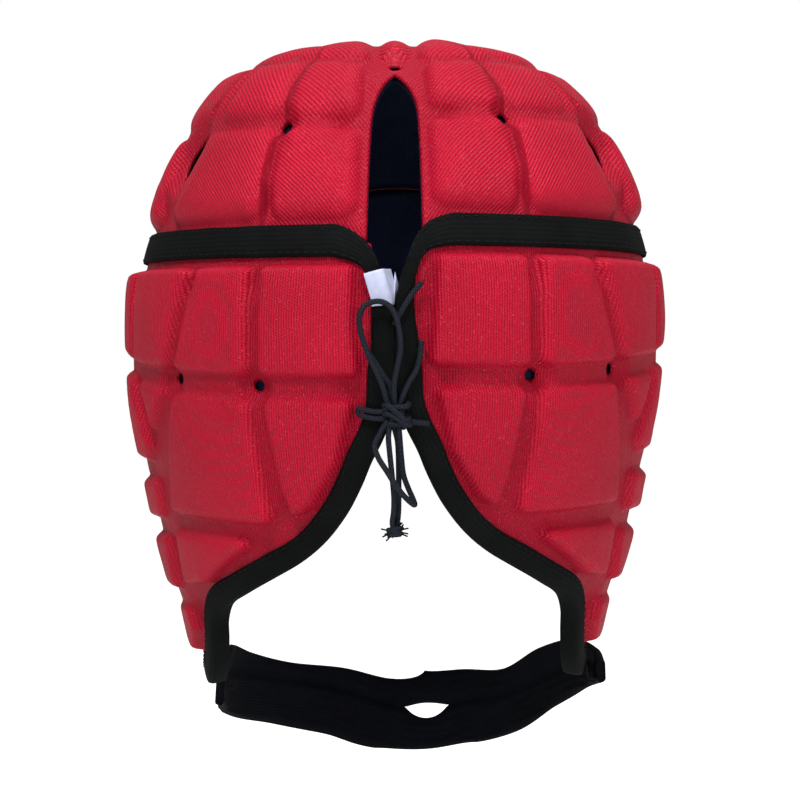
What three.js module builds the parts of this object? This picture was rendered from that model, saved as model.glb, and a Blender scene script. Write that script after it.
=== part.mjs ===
// A padded headgear of the scrum-cap kind: a padded crown slit open at the back, padded side panels
// that hang below it and meet at a lace, a forehead panel, tape round the edges and a chin strap.
// The origin is the inside of the crown's top, where the head touches it. +Z is up, the face looks
// along +Y, and the slit is at the back, towards -Y. Lengths are millimetres, angles are degrees.
import * as THREE from 'three';
import { mergeVertices } from 'three/addons/utils/BufferGeometryUtils.js';

// The hollow that the head fills
const HEAD_WIDTH = 161;
const BACK_DEPTH = 95;
const FRONT_DEPTH = 97;
const HEAD_DROP = 205;

// Layers, from the head outwards
const LINING_THICK = 1;
const FABRIC_THICK = 2;
const CROWN_PAD_RISE = 5.2;
const SIDE_PAD_RISE = 5.8;
const TAB_PAD_RISE = 4.6;
const LAYER_GAP = 0.3;
const SEAM_GAP = 0.4;

// Tape
const TAPE_THICK = 1;
const TAPE_GAP = 0.8;
const BINDING_WIDTH = 6;
const BINDING_INSIDE = 4.2;
const BAND_WIDTH = 10;

// The back slit, and how much higher the right half of the cap hangs than the left along it
const SLIT_WIDTH = 17;
const SIDE_LIFT = 3.6;

// The pads stand on a flat channel of this width. Away from the panel's edges and openings the cloth
// spans the channels higher up.
const GROOVE_WIDTH = 3.2;
const CHANNEL_LIFT = 3;
const EDGE_FLAT = 10;
const OPENING_FLAT = 6;
const RIDGE_WIDTH = 11.2;
const PATTERN_BOW = 6;
const CORNER_CUT = 3.5;
const FACET_LENGTH = 26;
const VENT_WIDTH = 3.4;
// A pad's rings: how far in from its foot, as a share of its reach, and how much of its rise they have
const PAD_RINGS = [{ in: 0, rise: 0 }, { in: 0.10, rise: 0.66 }, { in: 0.27, rise: 0.96 }];

// Chin strap
const STRAP_THICK = 3;
const STRAP_WIDTH = 25;
const STRAP_DROP = 21;
const SLOT_LENGTH = 17;
const SLOT_HEIGHT = 5.6;
const FASTENER_THICK = 2.4;
const FASTENER_WIDTH = 6;

// Lace and label
const LACE_DIAMETER = 1.8;
const LACE_SIDES = 8;
const LACE_STEP = 4.3;
const KNOT_WIDTH = 9;
const KNOT_THICK = 5;
const END_KNOT_WIDTH = 4.6;
const LABEL_THICK = 0.5;
const LABEL_WIDTH = 7;
const LABEL_HEIGHT = 10.5;

// The head's outline at each level, as shares of its drop, half width and the two depths
const HEAD_SECTIONS = [
  { drop: 0.000, width: 0.000, back: 0.000, front: 0.000 },
  { drop: 0.003, width: 0.273, back: 0.273, front: 0.273 },
  { drop: 0.020, width: 0.497, back: 0.497, front: 0.497 },
  { drop: 0.049, width: 0.646, back: 0.646, front: 0.646 },
  { drop: 0.088, width: 0.745, back: 0.745, front: 0.745 },
  { drop: 0.132, width: 0.814, back: 0.814, front: 0.814 },
  { drop: 0.180, width: 0.876, back: 0.876, front: 0.876 },
  { drop: 0.234, width: 0.932, back: 0.932, front: 0.932 },
  { drop: 0.293, width: 0.981, back: 0.981, front: 0.981 },
  { drop: 0.341, width: 1.010, back: 0.997, front: 0.997 },
  { drop: 0.400, width: 1.020, back: 1.000, front: 1.000 },
  { drop: 0.468, width: 1.021, back: 0.992, front: 0.990 },
  { drop: 0.537, width: 1.011, back: 0.975, front: 0.970 },
  { drop: 0.605, width: 0.984, back: 0.945, front: 0.950 },
  { drop: 0.678, width: 0.940, back: 0.905, front: 0.920 },
  { drop: 0.751, width: 0.897, back: 0.865, front: 0.890 },
  { drop: 0.820, width: 0.853, back: 0.830, front: 0.860 },
  { drop: 0.878, width: 0.804, back: 0.800, front: 0.830 },
  { drop: 0.937, width: 0.766, back: 0.775, front: 0.800 },
  { drop: 1.000, width: 0.729, back: 0.750, front: 0.770 },
];

// A place on the head is its azimuth, from the back round by the right, and how far down it lies, as
// a share of the way from the crown's top to the end of the jaw tabs.
const SLIT_TOP = 0.205;
const LIFTED_FROM = 0.310;
const HEM_DOWN = 0.434;
const HEM_DOWN_FRONT = 0.325;
const HEM_RISES_FROM = 100;
const HEM_STEP = 12;
const HEM_FROM_SLIT = 4;
const BAND_FROM_SLIT = 1.2;
const FRONT_SEAM = 127;
const RIDGE_DOWN = 0.172;

// Half the slit's width at each level, as a share of SLIT_WIDTH
const SLIT_EDGE = [
  { down: 0.226, half: 0.20 },
  { down: 0.256, half: 0.36 },
  { down: 0.290, half: 0.42 },
  { down: 0.350, half: 0.46 },
  { down: 0.434, half: 0.49 },
];

// The edge of the right side panel from the slit's top, by the nape and the jaw tab, to the temple
const SIDE_EDGE = [
  { azimuth: 5.2, down: 0.4355 }, { azimuth: 3.8, down: 0.468 }, { azimuth: 2.4, down: 0.50 },
  { azimuth: 1.9, down: 0.55 }, { azimuth: 1.8, down: 0.60 }, { azimuth: 2.2, down: 0.640 },
  { azimuth: 3.7, down: 0.668 }, { azimuth: 6.2, down: 0.695 }, { azimuth: 8.9, down: 0.728 },
  { azimuth: 12.6, down: 0.762 }, { azimuth: 18.0, down: 0.795 }, { azimuth: 24.5, down: 0.820 },
  { azimuth: 33.0, down: 0.841 }, { azimuth: 44.0, down: 0.864 }, { azimuth: 54.5, down: 0.884 },
  { azimuth: 61.0, down: 0.910 }, { azimuth: 65.0, down: 0.942 }, { azimuth: 70.5, down: 0.973 },
  { azimuth: 79.0, down: 0.995 }, { azimuth: 90.0, down: 0.995 }, { azimuth: 99.5, down: 0.975 },
  { azimuth: 106.0, down: 0.94 }, { azimuth: 110.0, down: 0.895 }, { azimuth: 114.0, down: 0.83 },
  { azimuth: 118.0, down: 0.76 }, { azimuth: 121.0, down: 0.69 }, { azimuth: 123.5, down: 0.62 },
  { azimuth: 127.0, down: 0.555 },
];
const BROW_EDGE = [
  { azimuth: 128.6, down: 0.552 }, { azimuth: 141.0, down: 0.534 }, { azimuth: 154.0, down: 0.524 },
  { azimuth: 167.0, down: 0.520 }, { azimuth: 180.0, down: 0.519 },
];

// Each pad is the corners of its cell, as azimuth and down. Pads and openings are given for the
// right side, and the left side mirrors them.
const CROWN_PADS = [
  [[22, 0.062], [46, 0.052], [44, 0.184], [7.5, 0.184]],
  [[50, 0.050], [108, 0.050], [112, 0.184], [46, 0.184]],
  [[113, 0.052], [158, 0.062], [172, 0.184], [114, 0.184]],
  [[8.5, 0.187], [32, 0.187], [31, 0.280], [7.6, 0.280]],
  [[32, 0.187], [57, 0.187], [56, 0.280], [31, 0.280]],
  [[57, 0.187], [90, 0.187], [90, 0.280], [56, 0.280]],
  [[90, 0.187], [120, 0.187], [120, 0.280], [90, 0.280]],
  [[120, 0.187], [150, 0.187], [150, 0.280], [120, 0.280]],
  [[150, 0.187], [180, 0.187], [180, 0.280], [150, 0.280]],
  [[7.4, 0.284], [30.2, 0.284], [30.2, 0.412], [7.2, 0.412]],
  [[30.2, 0.284], [61.5, 0.284], [64, 0.345], [70, 0.412], [30.2, 0.412]],
  [[75.5, 0.284], [104, 0.284], [106, 0.412], [72, 0.412], [72.5, 0.365]],
  [[104, 0.284], [133, 0.284], [133, 0.375], [106, 0.408]],
  [[133, 0.284], [156, 0.284], [154, 0.335], [133, 0.370]],
];
const SIDE_PADS = [
  [[7.4, 0.455], [30, 0.455], [30, 0.602], [5.6, 0.602]],
  [[30, 0.455], [46, 0.455], [54.5, 0.594], [30, 0.602]],
  [[46, 0.455], [73.5, 0.455], [73.5, 0.583], [54.5, 0.593]],
  [[73.5, 0.455], [100, 0.455], [100, 0.563], [73.5, 0.582]],
  [[100, 0.451], [122.8, 0.438], [121.8, 0.522], [112, 0.560], [100, 0.562]],
  [[6.4, 0.610], [29.6, 0.610], [27, 0.728], [24.6, 0.782], [17.6, 0.756], [11.0, 0.700]],
  [[30.4, 0.610], [54, 0.603], [65.5, 0.770], [27.2, 0.783]],
  [[28.4, 0.790], [65, 0.777], [67, 0.868], [55, 0.862]],
  [[55.5, 0.600], [72.5, 0.588], [64.4, 0.680]],
  [[73, 0.588], [84, 0.574], [80.5, 0.700], [70, 0.706], [65.6, 0.684]],
  [[67, 0.712], [83, 0.712], [88, 0.781], [69, 0.781]],
  [[88, 0.742], [108, 0.742], [115, 0.781], [90, 0.781]],
  [[109, 0.566], [121.0, 0.543], [114.6, 0.736], [109.5, 0.740], [107.5, 0.70]],
  [[68.0, 0.787], [90, 0.787], [90, 0.872], [70, 0.872]],
  [[90, 0.787], [112.5, 0.787], [107, 0.872], [90, 0.872]],
];
const TAB_PAD = [[71, 0.880], [105, 0.880], [101, 0.930], [90, 0.962], [78, 0.962], [70, 0.926]];
const FRONT_PADS = [
  [[169.5, 0.348], [190.5, 0.348], [190.5, 0.486], [169.5, 0.486]],
  [[148.5, 0.381], [169.5, 0.350], [169.5, 0.486], [148.5, 0.491]],
  [[132.6, 0.416], [148.5, 0.383], [148.5, 0.491], [132.6, 0.501]],
];

// Openings: a round vent is its place, a shaped opening its corners
const CROWN_VENTS = [[31, 0.282], [0, 0.186]];
const SIDE_VENTS = [[30.4, 0.606], [55.0, 0.5975]];
const CROWN_OPENING = [
  [68, 0.280], [72, 0.298], [73.4, 0.318], [71.5, 0.338], [67.8, 0.354], [65.2, 0.330], [64.6, 0.302],
];
const EAR = { azimuth: 96.5, down: 0.647, halfWidth: 15, halfHeight: 19, corners: 14 };

// The chin strap's stations from the left jaw tab to the right one. Across and forward are shares of
// half the head's width and of its front depth, drop is a share of STRAP_DROP below the tabs, and the
// two edges are shares of STRAP_WIDTH from the fold line.
const STRAP_STATIONS = [
  { across: -0.668, forward: -0.02, drop: 0.00, above: 0.44, below: 0.26, lean: 0 },
  { across: -0.668, forward: 0.12, drop: 0.02, above: 0.42, below: 0.42, lean: 3 },
  { across: -0.715, forward: 0.3, drop: 0.06, above: 0.36, below: 0.60, lean: 10 },
  { across: -0.640, forward: 0.5, drop: 0.16, above: 0.28, below: 0.66, lean: 8 },
  { across: -0.480, forward: 0.66, drop: 0.30, above: 0.22, below: 0.68, lean: 4 },
  { across: -0.260, forward: 0.78, drop: 0.50, above: 0.28, below: 0.70, lean: 0 },
  { across: -0.040, forward: 0.84, drop: 0.78, above: 0.34, below: 0.70, lean: 0 },
  { across: 0.140, forward: 0.845, drop: 0.94, above: 0.58, below: 0.56, lean: 0 },
  { across: 0.320, forward: 0.8, drop: 0.72, above: 0.44, below: 0.64, lean: 0 },
  { across: 0.505, forward: 0.7, drop: 0.56, above: 0.34, below: 0.58, lean: 2 },
  { across: 0.665, forward: 0.54, drop: 0.22, above: 0.40, below: 0.46, lean: 4 },
  { across: 0.790, forward: 0.37, drop: -0.06, above: 0.34, below: 0.42, lean: 4 },
  { across: 0.855, forward: 0.19, drop: -0.08, above: 0.24, below: 0.28, lean: 2 },
  { across: 0.866, forward: 0.05, drop: -0.06, above: 0.20, below: 0.20, lean: 2 },
  { across: 0.866, forward: -0.07, drop: -0.06, above: 0.15, below: 0.15, lean: 2 },
];
const SLOT_AT = 0.5;
const FASTENER_STATIONS = [12.6, 13.8];

// The lace's points: x, how far the lace's middle stands out from the tape's face, and how far above
// the bow's knot it lies
const LACE_UPPER = [
  [8.6, 1.4, 41.4], [7.4, 1.4, 40.0], [5.2, 1.4, 37.2], [3.2, 1.5, 34.0], [1.4, 1.3, 30.8],
  [-0.1, 0.6, 28.0],
];
const LACE_LEFT = [
  [-8.4, 1.4, 19.6], [-7.2, 1.4, 18.0], [-5.4, 1.4, 15.4], [-3.4, 1.8, 12.2], [-1.4, 2.4, 9.2],
  [-0.9, 2.8, 5.7],
];
const LACE_RIGHT = [
  [8.4, 0.8, 23.2], [8.2, 0.9, 21.0], [7.8, 1.1, 17.4], [6.6, 1.6, 13.6], [4.4, 2.0, 10.0],
  [2.4, 2.8, 5.6],
];
const KNOT_TO_LEFT = [
  [-4.3, 2.6, -0.4], [-6.4, 2.2, -0.3], [-9.0, 1.5, 0.2], [-11.2, 1.2, 1.0],
];
const KNOT_TO_RIGHT = [
  [4.9, 2.9, -2.0], [7.0, 2.1, -2.4], [9.0, 1.5, -2.6], [10.9, 1.2, -2.8],
];
const BOW_LOOP_UP = [
  [-2.6, 4.4, 5.0], [-3.3, 5.2, 7.8], [-5.0, 5.6, 12.0], [-7.4, 5.6, 17.0], [-9.2, 5.4, 21.4],
  [-10.6, 5.0, 26.2], [-10.9, 4.6, 30.4], [-9.7, 4.2, 33.4], [-7.4, 4.0, 34.9], [-4.4, 4.0, 35.2],
  [-1.6, 4.2, 33.8], [0.3, 4.5, 30.6], [1.5, 5.0, 25.8], [1.9, 5.4, 21.0], [1.2, 5.6, 16.6],
  [0.2, 5.4, 11.8], [-0.2, 5.0, 8.2], [-0.1, 4.4, 5.2],
];
const BOW_LOOP_DOWN = [
  [-3.4, 4.6, -3.8], [-4.8, 6.6, -6.4], [-6.2, 8.6, -9.6], [-5.0, 10.4, -13.4],
  [-2.6, 12.0, -17.2], [-0.2, 13.2, -21.0], [2.6, 13.8, -24.8], [5.2, 13.0, -27.4],
  [6.3, 10.2, -28.0], [5.7, 7.6, -26.2], [4.2, 6.2, -22.8], [2.8, 5.6, -18.8], [2.2, 5.4, -14.0],
  [1.8, 5.2, -9.4], [1.5, 4.8, -5.6],
];
const TAIL_LEFT = [
  [-1.6, 4.6, -4.2], [-1.9, 6.6, -7.0], [-1.6, 7.8, -11.0], [-1.1, 8.4, -15.8],
  [-0.6, 8.8, -20.8], [-0.2, 9.1, -25.8], [-0.3, 9.4, -30.4], [-0.8, 9.6, -33.7],
];
const TAIL_RIGHT = [
  [0.1, 3.2, -5.4], [0.9, 2.2, -8.0], [1.2, 2.2, -12.0], [1.3, 2.6, -16.8], [1.3, 3.6, -21.6],
  [1.3, 5.4, -26.4], [1.2, 7.2, -30.6], [0.8, 8.4, -33.6],
];
const KNOT_AT = [0.6, 2.6, 0];
const END_KNOT_AT = [0.0, 9.2, -36.6];
const KNOT_DROP = 0.5688;
const LABEL_DOWN = 0.4575;

// How far to each side the slope of the head's surface is measured, down it and in degrees round it
const NORMAL_STEP = 0.004;
const NORMAL_TURN = 0.5;

const smooth = (t) => THREE.MathUtils.smoothstep(t, 0, 1);
const radians = (degrees) => THREE.MathUtils.degToRad(degrees);
const mirrored = (corners) => corners.map(([azimuth, down]) => [-azimuth, down]);
const pairs = (edge) => edge.map(({ azimuth, down }) => [azimuth, down]);

// Heights above the head's surface
const FABRIC_BOTTOM = LINING_THICK + LAYER_GAP;
const FABRIC_TOP = FABRIC_BOTTOM + FABRIC_THICK;
const TAPE_BOTTOM = FABRIC_TOP + TAPE_GAP;
const TAPE_TOP = TAPE_BOTTOM + TAPE_THICK;

// The side profile gives the width and drop at each share of the way down, and the depths follow it.
const profile = new THREE.CatmullRomCurve3(
  HEAD_SECTIONS.map((row) => new THREE.Vector3(row.width * HEAD_WIDTH / 2, row.drop * HEAD_DROP, 0)),
  false,
  'catmullrom',
);
const depths = new THREE.CatmullRomCurve3(
  HEAD_SECTIONS.map((row) => new THREE.Vector3(row.back * BACK_DEPTH, row.front * FRONT_DEPTH, 0)),
  false,
  'catmullrom',
);
profile.arcLengthDivisions = 400;
const PROFILE_LENGTH = profile.getLength();

function headLevel(down) {
  const t = profile.getUtoTmapping(THREE.MathUtils.clamp(down, 0, 1));
  const side = profile.getPoint(t);
  const depth = depths.getPoint(t);
  return { width: side.x, drop: side.y, back: depth.x, front: depth.y };
}

function headSurface(azimuth, down) {
  const level = headLevel(down);
  const angle = radians(azimuth);
  const depth = Math.cos(angle) > 0 ? level.back : level.front;
  const hung = smooth((down - SLIT_TOP) / (LIFTED_FROM - SLIT_TOP));
  const turned = Math.cos(angle / 2) * (azimuth < 0 ? -1 : 1);
  return new THREE.Vector3(
    level.width * Math.sin(angle),
    -depth * Math.cos(angle),
    SIDE_LIFT / 2 * turned * hung - level.drop,
  );
}

function headNormal(azimuth, down) {
  const place = Math.max(down, 2 * NORMAL_STEP);
  const along = headSurface(azimuth, place + NORMAL_STEP).sub(headSurface(azimuth, place - NORMAL_STEP));
  const round = headSurface(azimuth + NORMAL_TURN, place).sub(headSurface(azimuth - NORMAL_TURN, place));
  if (Math.abs(azimuth) <= NORMAL_TURN) {
    round.z = 0;
  }
  return along.cross(round).normalize();
}

function onHead(azimuth, down, height) {
  return headSurface(azimuth, down).addScaledVector(headNormal(azimuth, down), height);
}

// Millimetres round the head for each degree of azimuth at a level
function degreeLength(down) {
  const level = headLevel(down);
  return radians((level.width + level.back) / 2);
}

// Charts lay places on the head flat, as seen from outside, so that shapes are drawn in millimetres.
// The side panels are a little conical, so their flat pattern is bowed.
const sideChart = ([azimuth, down]) => new THREE.Vector2(
  radians(azimuth) * HEAD_WIDTH / 2,
  PATTERN_BOW * (azimuth / 180) ** 2 - down * PROFILE_LENGTH,
);
const crownChart = ([azimuth, down]) => new THREE.Vector2(
  down * PROFILE_LENGTH * Math.sin(radians(azimuth)),
  -down * PROFILE_LENGTH * Math.cos(radians(azimuth)),
);
const fromCrownChart = ({ x, y }) => [
  THREE.MathUtils.radToDeg(Math.atan2(x, -y)),
  Math.hypot(x, y) / PROFILE_LENGTH,
];

// A pad's own chart keeps lengths true near the middle of its cell.
function cellChart(corners) {
  const middle = corners.reduce((sum, corner) => sum + corner[0], 0) / corners.length;
  return {
    flat: ([azimuth, down]) => new THREE.Vector2(
      (azimuth - middle) * degreeLength(down),
      -down * PROFILE_LENGTH,
    ),
    back: ({ x, y }) => {
      const down = -y / PROFILE_LENGTH;
      return [middle + x / degreeLength(down), down];
    },
  };
}

const planChart = { flat: ([x, y]) => new THREE.Vector2(x, y), back: fromCrownChart };

function turnedLeft(loop, left = true) {
  return (THREE.ShapeUtils.area(loop) > 0) === left ? loop : [...loop].reverse();
}

// A loop's corners moved inwards by a distance. The loop turns left.
function inset(loop, distance) {
  return loop.map((corner, i) => {
    const before = corner.clone().sub(loop[(i + loop.length - 1) % loop.length]).normalize();
    const after = loop[(i + 1) % loop.length].clone().sub(corner).normalize();
    const turn = 1 + before.dot(after);
    const inwards = new THREE.Vector2(-before.y - after.y, before.x + after.x);
    return corner.clone().addScaledVector(inwards, distance / turn);
  });
}

// The distance from a loop's middle to its nearest side
function reachOf(loop) {
  const middle = loop.reduce((sum, corner) => sum.add(corner), new THREE.Vector2());
  middle.divideScalar(loop.length);
  return Math.min(...loop.map((corner, i) => {
    const side = loop[(i + 1) % loop.length].clone().sub(corner).normalize();
    return Math.abs(side.cross(middle.clone().sub(corner)));
  }));
}

// The rings of a pad, from its foot to its crest. Every ring has the same number of points: two at
// each cut corner, and more along a long side.
function padRings(corners, chart) {
  const cell = turnedLeft(corners.map(chart.flat));
  const foot = inset(cell, GROOVE_WIDTH / 2);
  const reach = reachOf(foot);
  const steps = foot.map((corner, i) => {
    const side = corner.distanceTo(foot[(i + 1) % foot.length]);
    return Math.max(1, Math.round((side - 2 * CORNER_CUT) / FACET_LENGTH));
  });
  return PAD_RINGS.map((ring) => {
    const loop = inset(foot, ring.in * reach);
    const points = [];
    loop.forEach((corner, i) => {
      const next = loop[(i + 1) % loop.length];
      const side = corner.distanceTo(next);
      const cut = Math.min(CORNER_CUT, side / 4) / side;
      for (let k = 0; k <= steps[i]; k += 1) {
        points.push(chart.back(corner.clone().lerp(next, cut + (1 - 2 * cut) * k / steps[i])));
      }
    });
    return { points, rise: ring.rise };
  });
}

function cellPads(cells, rise) {
  return cells.map((corners) => ({ rings: padRings(corners, cellChart(corners)), rise }));
}

const bothSides = (cells) => [...cells, ...cells.map(mirrored)];

function ventLoop([azimuth, down]) {
  const corners = 6;
  return Array.from({ length: corners }, (_, i) => {
    const turn = 2 * Math.PI * i / corners;
    return [
      azimuth + VENT_WIDTH / 2 * Math.cos(turn) / degreeLength(down),
      down + VENT_WIDTH / 2 * Math.sin(turn) / PROFILE_LENGTH,
    ];
  });
}

function earLoop() {
  return Array.from({ length: EAR.corners }, (_, i) => {
    const turn = 2 * Math.PI * i / EAR.corners;
    return [
      EAR.azimuth + EAR.halfWidth * Math.cos(turn) / degreeLength(EAR.down),
      EAR.down + EAR.halfHeight * Math.sin(turn) / PROFILE_LENGTH,
    ];
  });
}

// The triangles of a flat shape with holes. Sides shared by two triangles are turned until no
// triangle is needlessly long, so that the shape bends round the head evenly.
function triangulate(flatPoints, loops) {
  const order = loops.flat();
  const [contour, ...holes] = loops.map((loop) => loop.map((i) => flatPoints[i]));
  const area = (a, b, c) => b.clone().sub(a).cross(c.clone().sub(a));
  const triangles = THREE.ShapeUtils.triangulateShape(contour, holes).map((face) => {
    const [a, b, c] = face.map((i) => order[i]);
    return area(flatPoints[a], flatPoints[b], flatPoints[c]) > 0 ? [a, b, c] : [a, c, b];
  });
  const fixed = new Set();
  loops.forEach((loop) => loop.forEach((a, i) => {
    const b = loop[(i + 1) % loop.length];
    fixed.add(`${a},${b}`).add(`${b},${a}`);
  }));
  const angleAt = (a, b, c) => {
    const left = flatPoints[b].clone().sub(flatPoints[a]);
    const right = flatPoints[c].clone().sub(flatPoints[a]);
    return Math.acos(THREE.MathUtils.clamp(left.dot(right) / left.length() / right.length(), -1, 1));
  };
  const sweeps = 40;
  for (let sweep = 0, changed = true; sweep < sweeps && changed; sweep += 1) {
    changed = false;
    const owner = new Map();
    triangles.forEach((face, t) => face.forEach((a, k) => owner.set(`${a},${face[(k + 1) % 3]}`, t)));
    const touched = new Set();
    for (const [side, t] of owner) {
      const [a, b] = side.split(',').map(Number);
      const u = owner.get(`${b},${a}`);
      if (a < b && u !== undefined && !fixed.has(side) && !touched.has(t) && !touched.has(u)) {
        const c = triangles[t].find((i) => i !== a && i !== b);
        const d = triangles[u].find((i) => i !== a && i !== b);
        const turns = area(flatPoints[c], flatPoints[a], flatPoints[d]) > 1e-6
          && area(flatPoints[d], flatPoints[b], flatPoints[c]) > 1e-6;
        if (turns && angleAt(c, a, b) + angleAt(d, a, b) > Math.PI + 1e-6) {
          triangles[t] = [c, a, d];
          triangles[u] = [d, b, c];
          touched.add(t).add(u);
          changed = true;
        }
      }
    }
  }
  return triangles;
}

function solidGeometry(points, faces) {
  const geometry = new THREE.BufferGeometry();
  geometry.setAttribute('position', new THREE.Float32BufferAttribute(
    points.flatMap(({ x, y, z }) => [x, y, z]),
    3,
  ));
  const volume = faces.reduce((sum, [a, b, c]) => (
    sum + points[a].dot(points[b].clone().cross(points[c]))
  ), 0);
  geometry.setIndex(faces.flatMap(([a, b, c]) => (volume > 0 ? [a, b, c] : [a, c, b])));
  return geometry;
}

function distanceTo(point, loop) {
  const nearest = new THREE.Vector3();
  const spot = new THREE.Vector3(point.x, point.y, 0);
  return Math.min(...loop.map((corner, i) => {
    const next = loop[(i + 1) % loop.length];
    const side = new THREE.Line3(
      new THREE.Vector3(corner.x, corner.y, 0),
      new THREE.Vector3(next.x, next.y, 0),
    );
    return side.closestPointToPoint(spot, true, nearest).distanceTo(spot);
  }));
}

// How far over its base the cloth spans a channel at a flat point
function channelLift(point, outline, openings, chart) {
  const fromEdge = distanceTo(point, outline.map(chart));
  const fromOpening = Math.min(...openings.map((loop) => distanceTo(point, loop.map(chart))), OPENING_FLAT);
  return CHANNEL_LIFT * smooth((fromEdge - EDGE_FLAT) / EDGE_FLAT) * smooth(fromOpening / OPENING_FLAT);
}

// A layer of cloth between two heights, with its outline, openings and pads. Pads stand on its top.
function layer({ outline, openings = [], pads = [], chart, place, bottom, top }) {
  const loops = [
    turnedPlaces(outline, chart, true),
    ...openings.map((loop) => turnedPlaces(loop, chart, false)),
    ...pads.map((pad) => pad.rings[0].points),
  ];
  const places = loops.flat();
  let count = 0;
  const numbered = loops.map((loop) => loop.map(() => {
    count += 1;
    return count - 1;
  }));
  const triangles = triangulate(places.map(chart), numbered);
  const points = [];
  const faces = [];
  const add = (point) => points.push(point) - 1;
  const stuffed = pads.some((pad) => pad.rise > 0);
  const liftAt = (p) => (stuffed ? channelLift(chart(p), outline, openings, chart) : 0);
  const under = places.map((p) => add(place(p, bottom)));
  const over = places.map((p) => add(place(p, top + liftAt(p))));
  triangles.forEach(([a, b, c]) => faces.push([over[a], over[b], over[c]], [under[c], under[b], under[a]]));
  numbered.slice(0, 1 + openings.length).forEach((loop) => loop.forEach((a, i) => {
    const b = loop[(i + 1) % loop.length];
    faces.push([under[a], under[b], over[b]], [under[a], over[b], over[a]]);
  }));
  pads.forEach((pad, index) => {
    const foot = numbered[1 + openings.length + index];
    const middle = middleOf(pad.rings[0].points);
    const bottomMiddle = add(place(middle, bottom));
    const topMiddle = add(place(middle, top + pad.rise));
    let ring = foot.map((i) => over[i]);
    pad.rings.slice(1).forEach(({ points: ringPlaces, rise }) => {
      const next = ringPlaces.map((p) => {
        const lift = Math.min(liftAt(p), pad.rise);
        return add(place(p, top + lift + (pad.rise - lift) * rise));
      });
      ring.forEach((a, i) => {
        const k = (i + 1) % ring.length;
        faces.push([a, ring[k], next[k]], [a, next[k], next[i]]);
      });
      ring = next;
    });
    ring.forEach((a, i) => faces.push([a, ring[(i + 1) % ring.length], topMiddle]));
    foot.forEach((a, i) => faces.push([under[foot[(i + 1) % foot.length]], under[a], bottomMiddle]));
  });
  return solidGeometry(points, faces);
}

function turnedPlaces(loop, chart, left) {
  return (THREE.ShapeUtils.area(loop.map(chart)) > 0) === left ? loop : [...loop].reverse();
}

// The middle of a loop of places. A loop round the crown's top has its middle there.
function middleOf(loop) {
  const sum = loop.map(crownChart).reduce((total, p) => total.add(p), new THREE.Vector2());
  const [azimuth, down] = fromCrownChart(sum.divideScalar(loop.length));
  return [loop[0][0] > 180 || loop.some(([a]) => a > 180) ? (azimuth + 360) % 360 : azimuth, down];
}

// A solid through rings of points that all have the same number, closed by flat ends. The outline is
// the ring's shape in its own plane, and gives the ends their triangles.
function lofted(rings, outline) {
  const count = outline.length;
  const points = rings.flat();
  const faces = [];
  for (let r = 0; r + 1 < rings.length; r += 1) {
    for (let i = 0; i < count; i += 1) {
      const k = (i + 1) % count;
      const [a, b, c, d] = [r * count + i, r * count + k, (r + 1) * count + k, (r + 1) * count + i];
      faces.push([a, b, c], [a, c, d]);
    }
  }
  const last = (rings.length - 1) * count;
  const ends = THREE.ShapeUtils.triangulateShape(outline, []);
  const turnsLeft = THREE.ShapeUtils.area(outline) > 0;
  ends.forEach((face) => {
    const [a, b, c] = turnsLeft ? face : [...face].reverse();
    faces.push([c, b, a], [last + a, last + b, last + c]);
  });
  return solidGeometry(points, faces);
}

// Tape folded over an edge: its section's points are how far in from the edge they lie and their height.
function foldedTape(edge, outerWidth, innerWidth, heights) {
  const { bottom, under, over, top, gap } = heights;
  const fold = gap + (top - over);
  const section = [
    [outerWidth, over], [outerWidth, top], [-fold, top], [-fold, bottom],
    [innerWidth, bottom], [innerWidth, under], [-gap, under], [-gap, over],
  ].map(([inwards, height]) => new THREE.Vector2(inwards, height));
  const flat = edge.map(sideChart);
  const rings = edge.map(([azimuth, down], i) => {
    const before = flat[Math.max(i - 1, 0)];
    const after = flat[Math.min(i + 1, flat.length - 1)];
    const heading = after.clone().sub(before).normalize();
    return section.map(({ x: inwards, y: height }) => onHead(
      azimuth - heading.y * inwards / degreeLength(down),
      down - heading.x * inwards / PROFILE_LENGTH,
      height,
    ));
  });
  return lofted(rings, section);
}

function tube(points, diameter) {
  const curve = new THREE.CatmullRomCurve3(points, false, 'centripetal');
  const section = new THREE.Shape(Array.from({ length: LACE_SIDES }, (_, i) => {
    const turn = 2 * Math.PI * i / LACE_SIDES;
    return new THREE.Vector2(diameter / 2 * Math.cos(turn), diameter / 2 * Math.sin(turn));
  }));
  return new THREE.ExtrudeGeometry(section, {
    steps: Math.round(curve.getLength() / LACE_STEP),
    extrudePath: curve,
    bevelEnabled: false,
  });
}

function downAt(drop) {
  let low = 0;
  let high = 1;
  for (let i = 0; i < 24; i += 1) {
    const middle = (low + high) / 2;
    if (headLevel(middle).drop < drop) {
      low = middle;
    } else {
      high = middle;
    }
  }
  return low;
}

// A lace point stands out from the tape's face at the back of the head, at its own level.
function lacePoint([x, out, above]) {
  const z = above - KNOT_DROP * HEAD_DROP;
  return new THREE.Vector3(x, -headLevel(downAt(-z)).back - TAPE_TOP - out, z);
}

function lump(width, height, depth, detail) {
  const geometry = mergeVertices(
    new THREE.IcosahedronGeometry(0.5, detail).deleteAttribute('normal').deleteAttribute('uv'),
  );
  return geometry.scale(width, depth, height);
}

function hemDown(azimuth) {
  const turned = Math.abs(((azimuth + 180) % 360 + 360) % 360 - 180);
  const rise = smooth((turned - HEM_RISES_FROM) / (180 - HEM_RISES_FROM));
  return HEM_DOWN + (HEM_DOWN_FRONT - HEM_DOWN) * rise;
}

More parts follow.
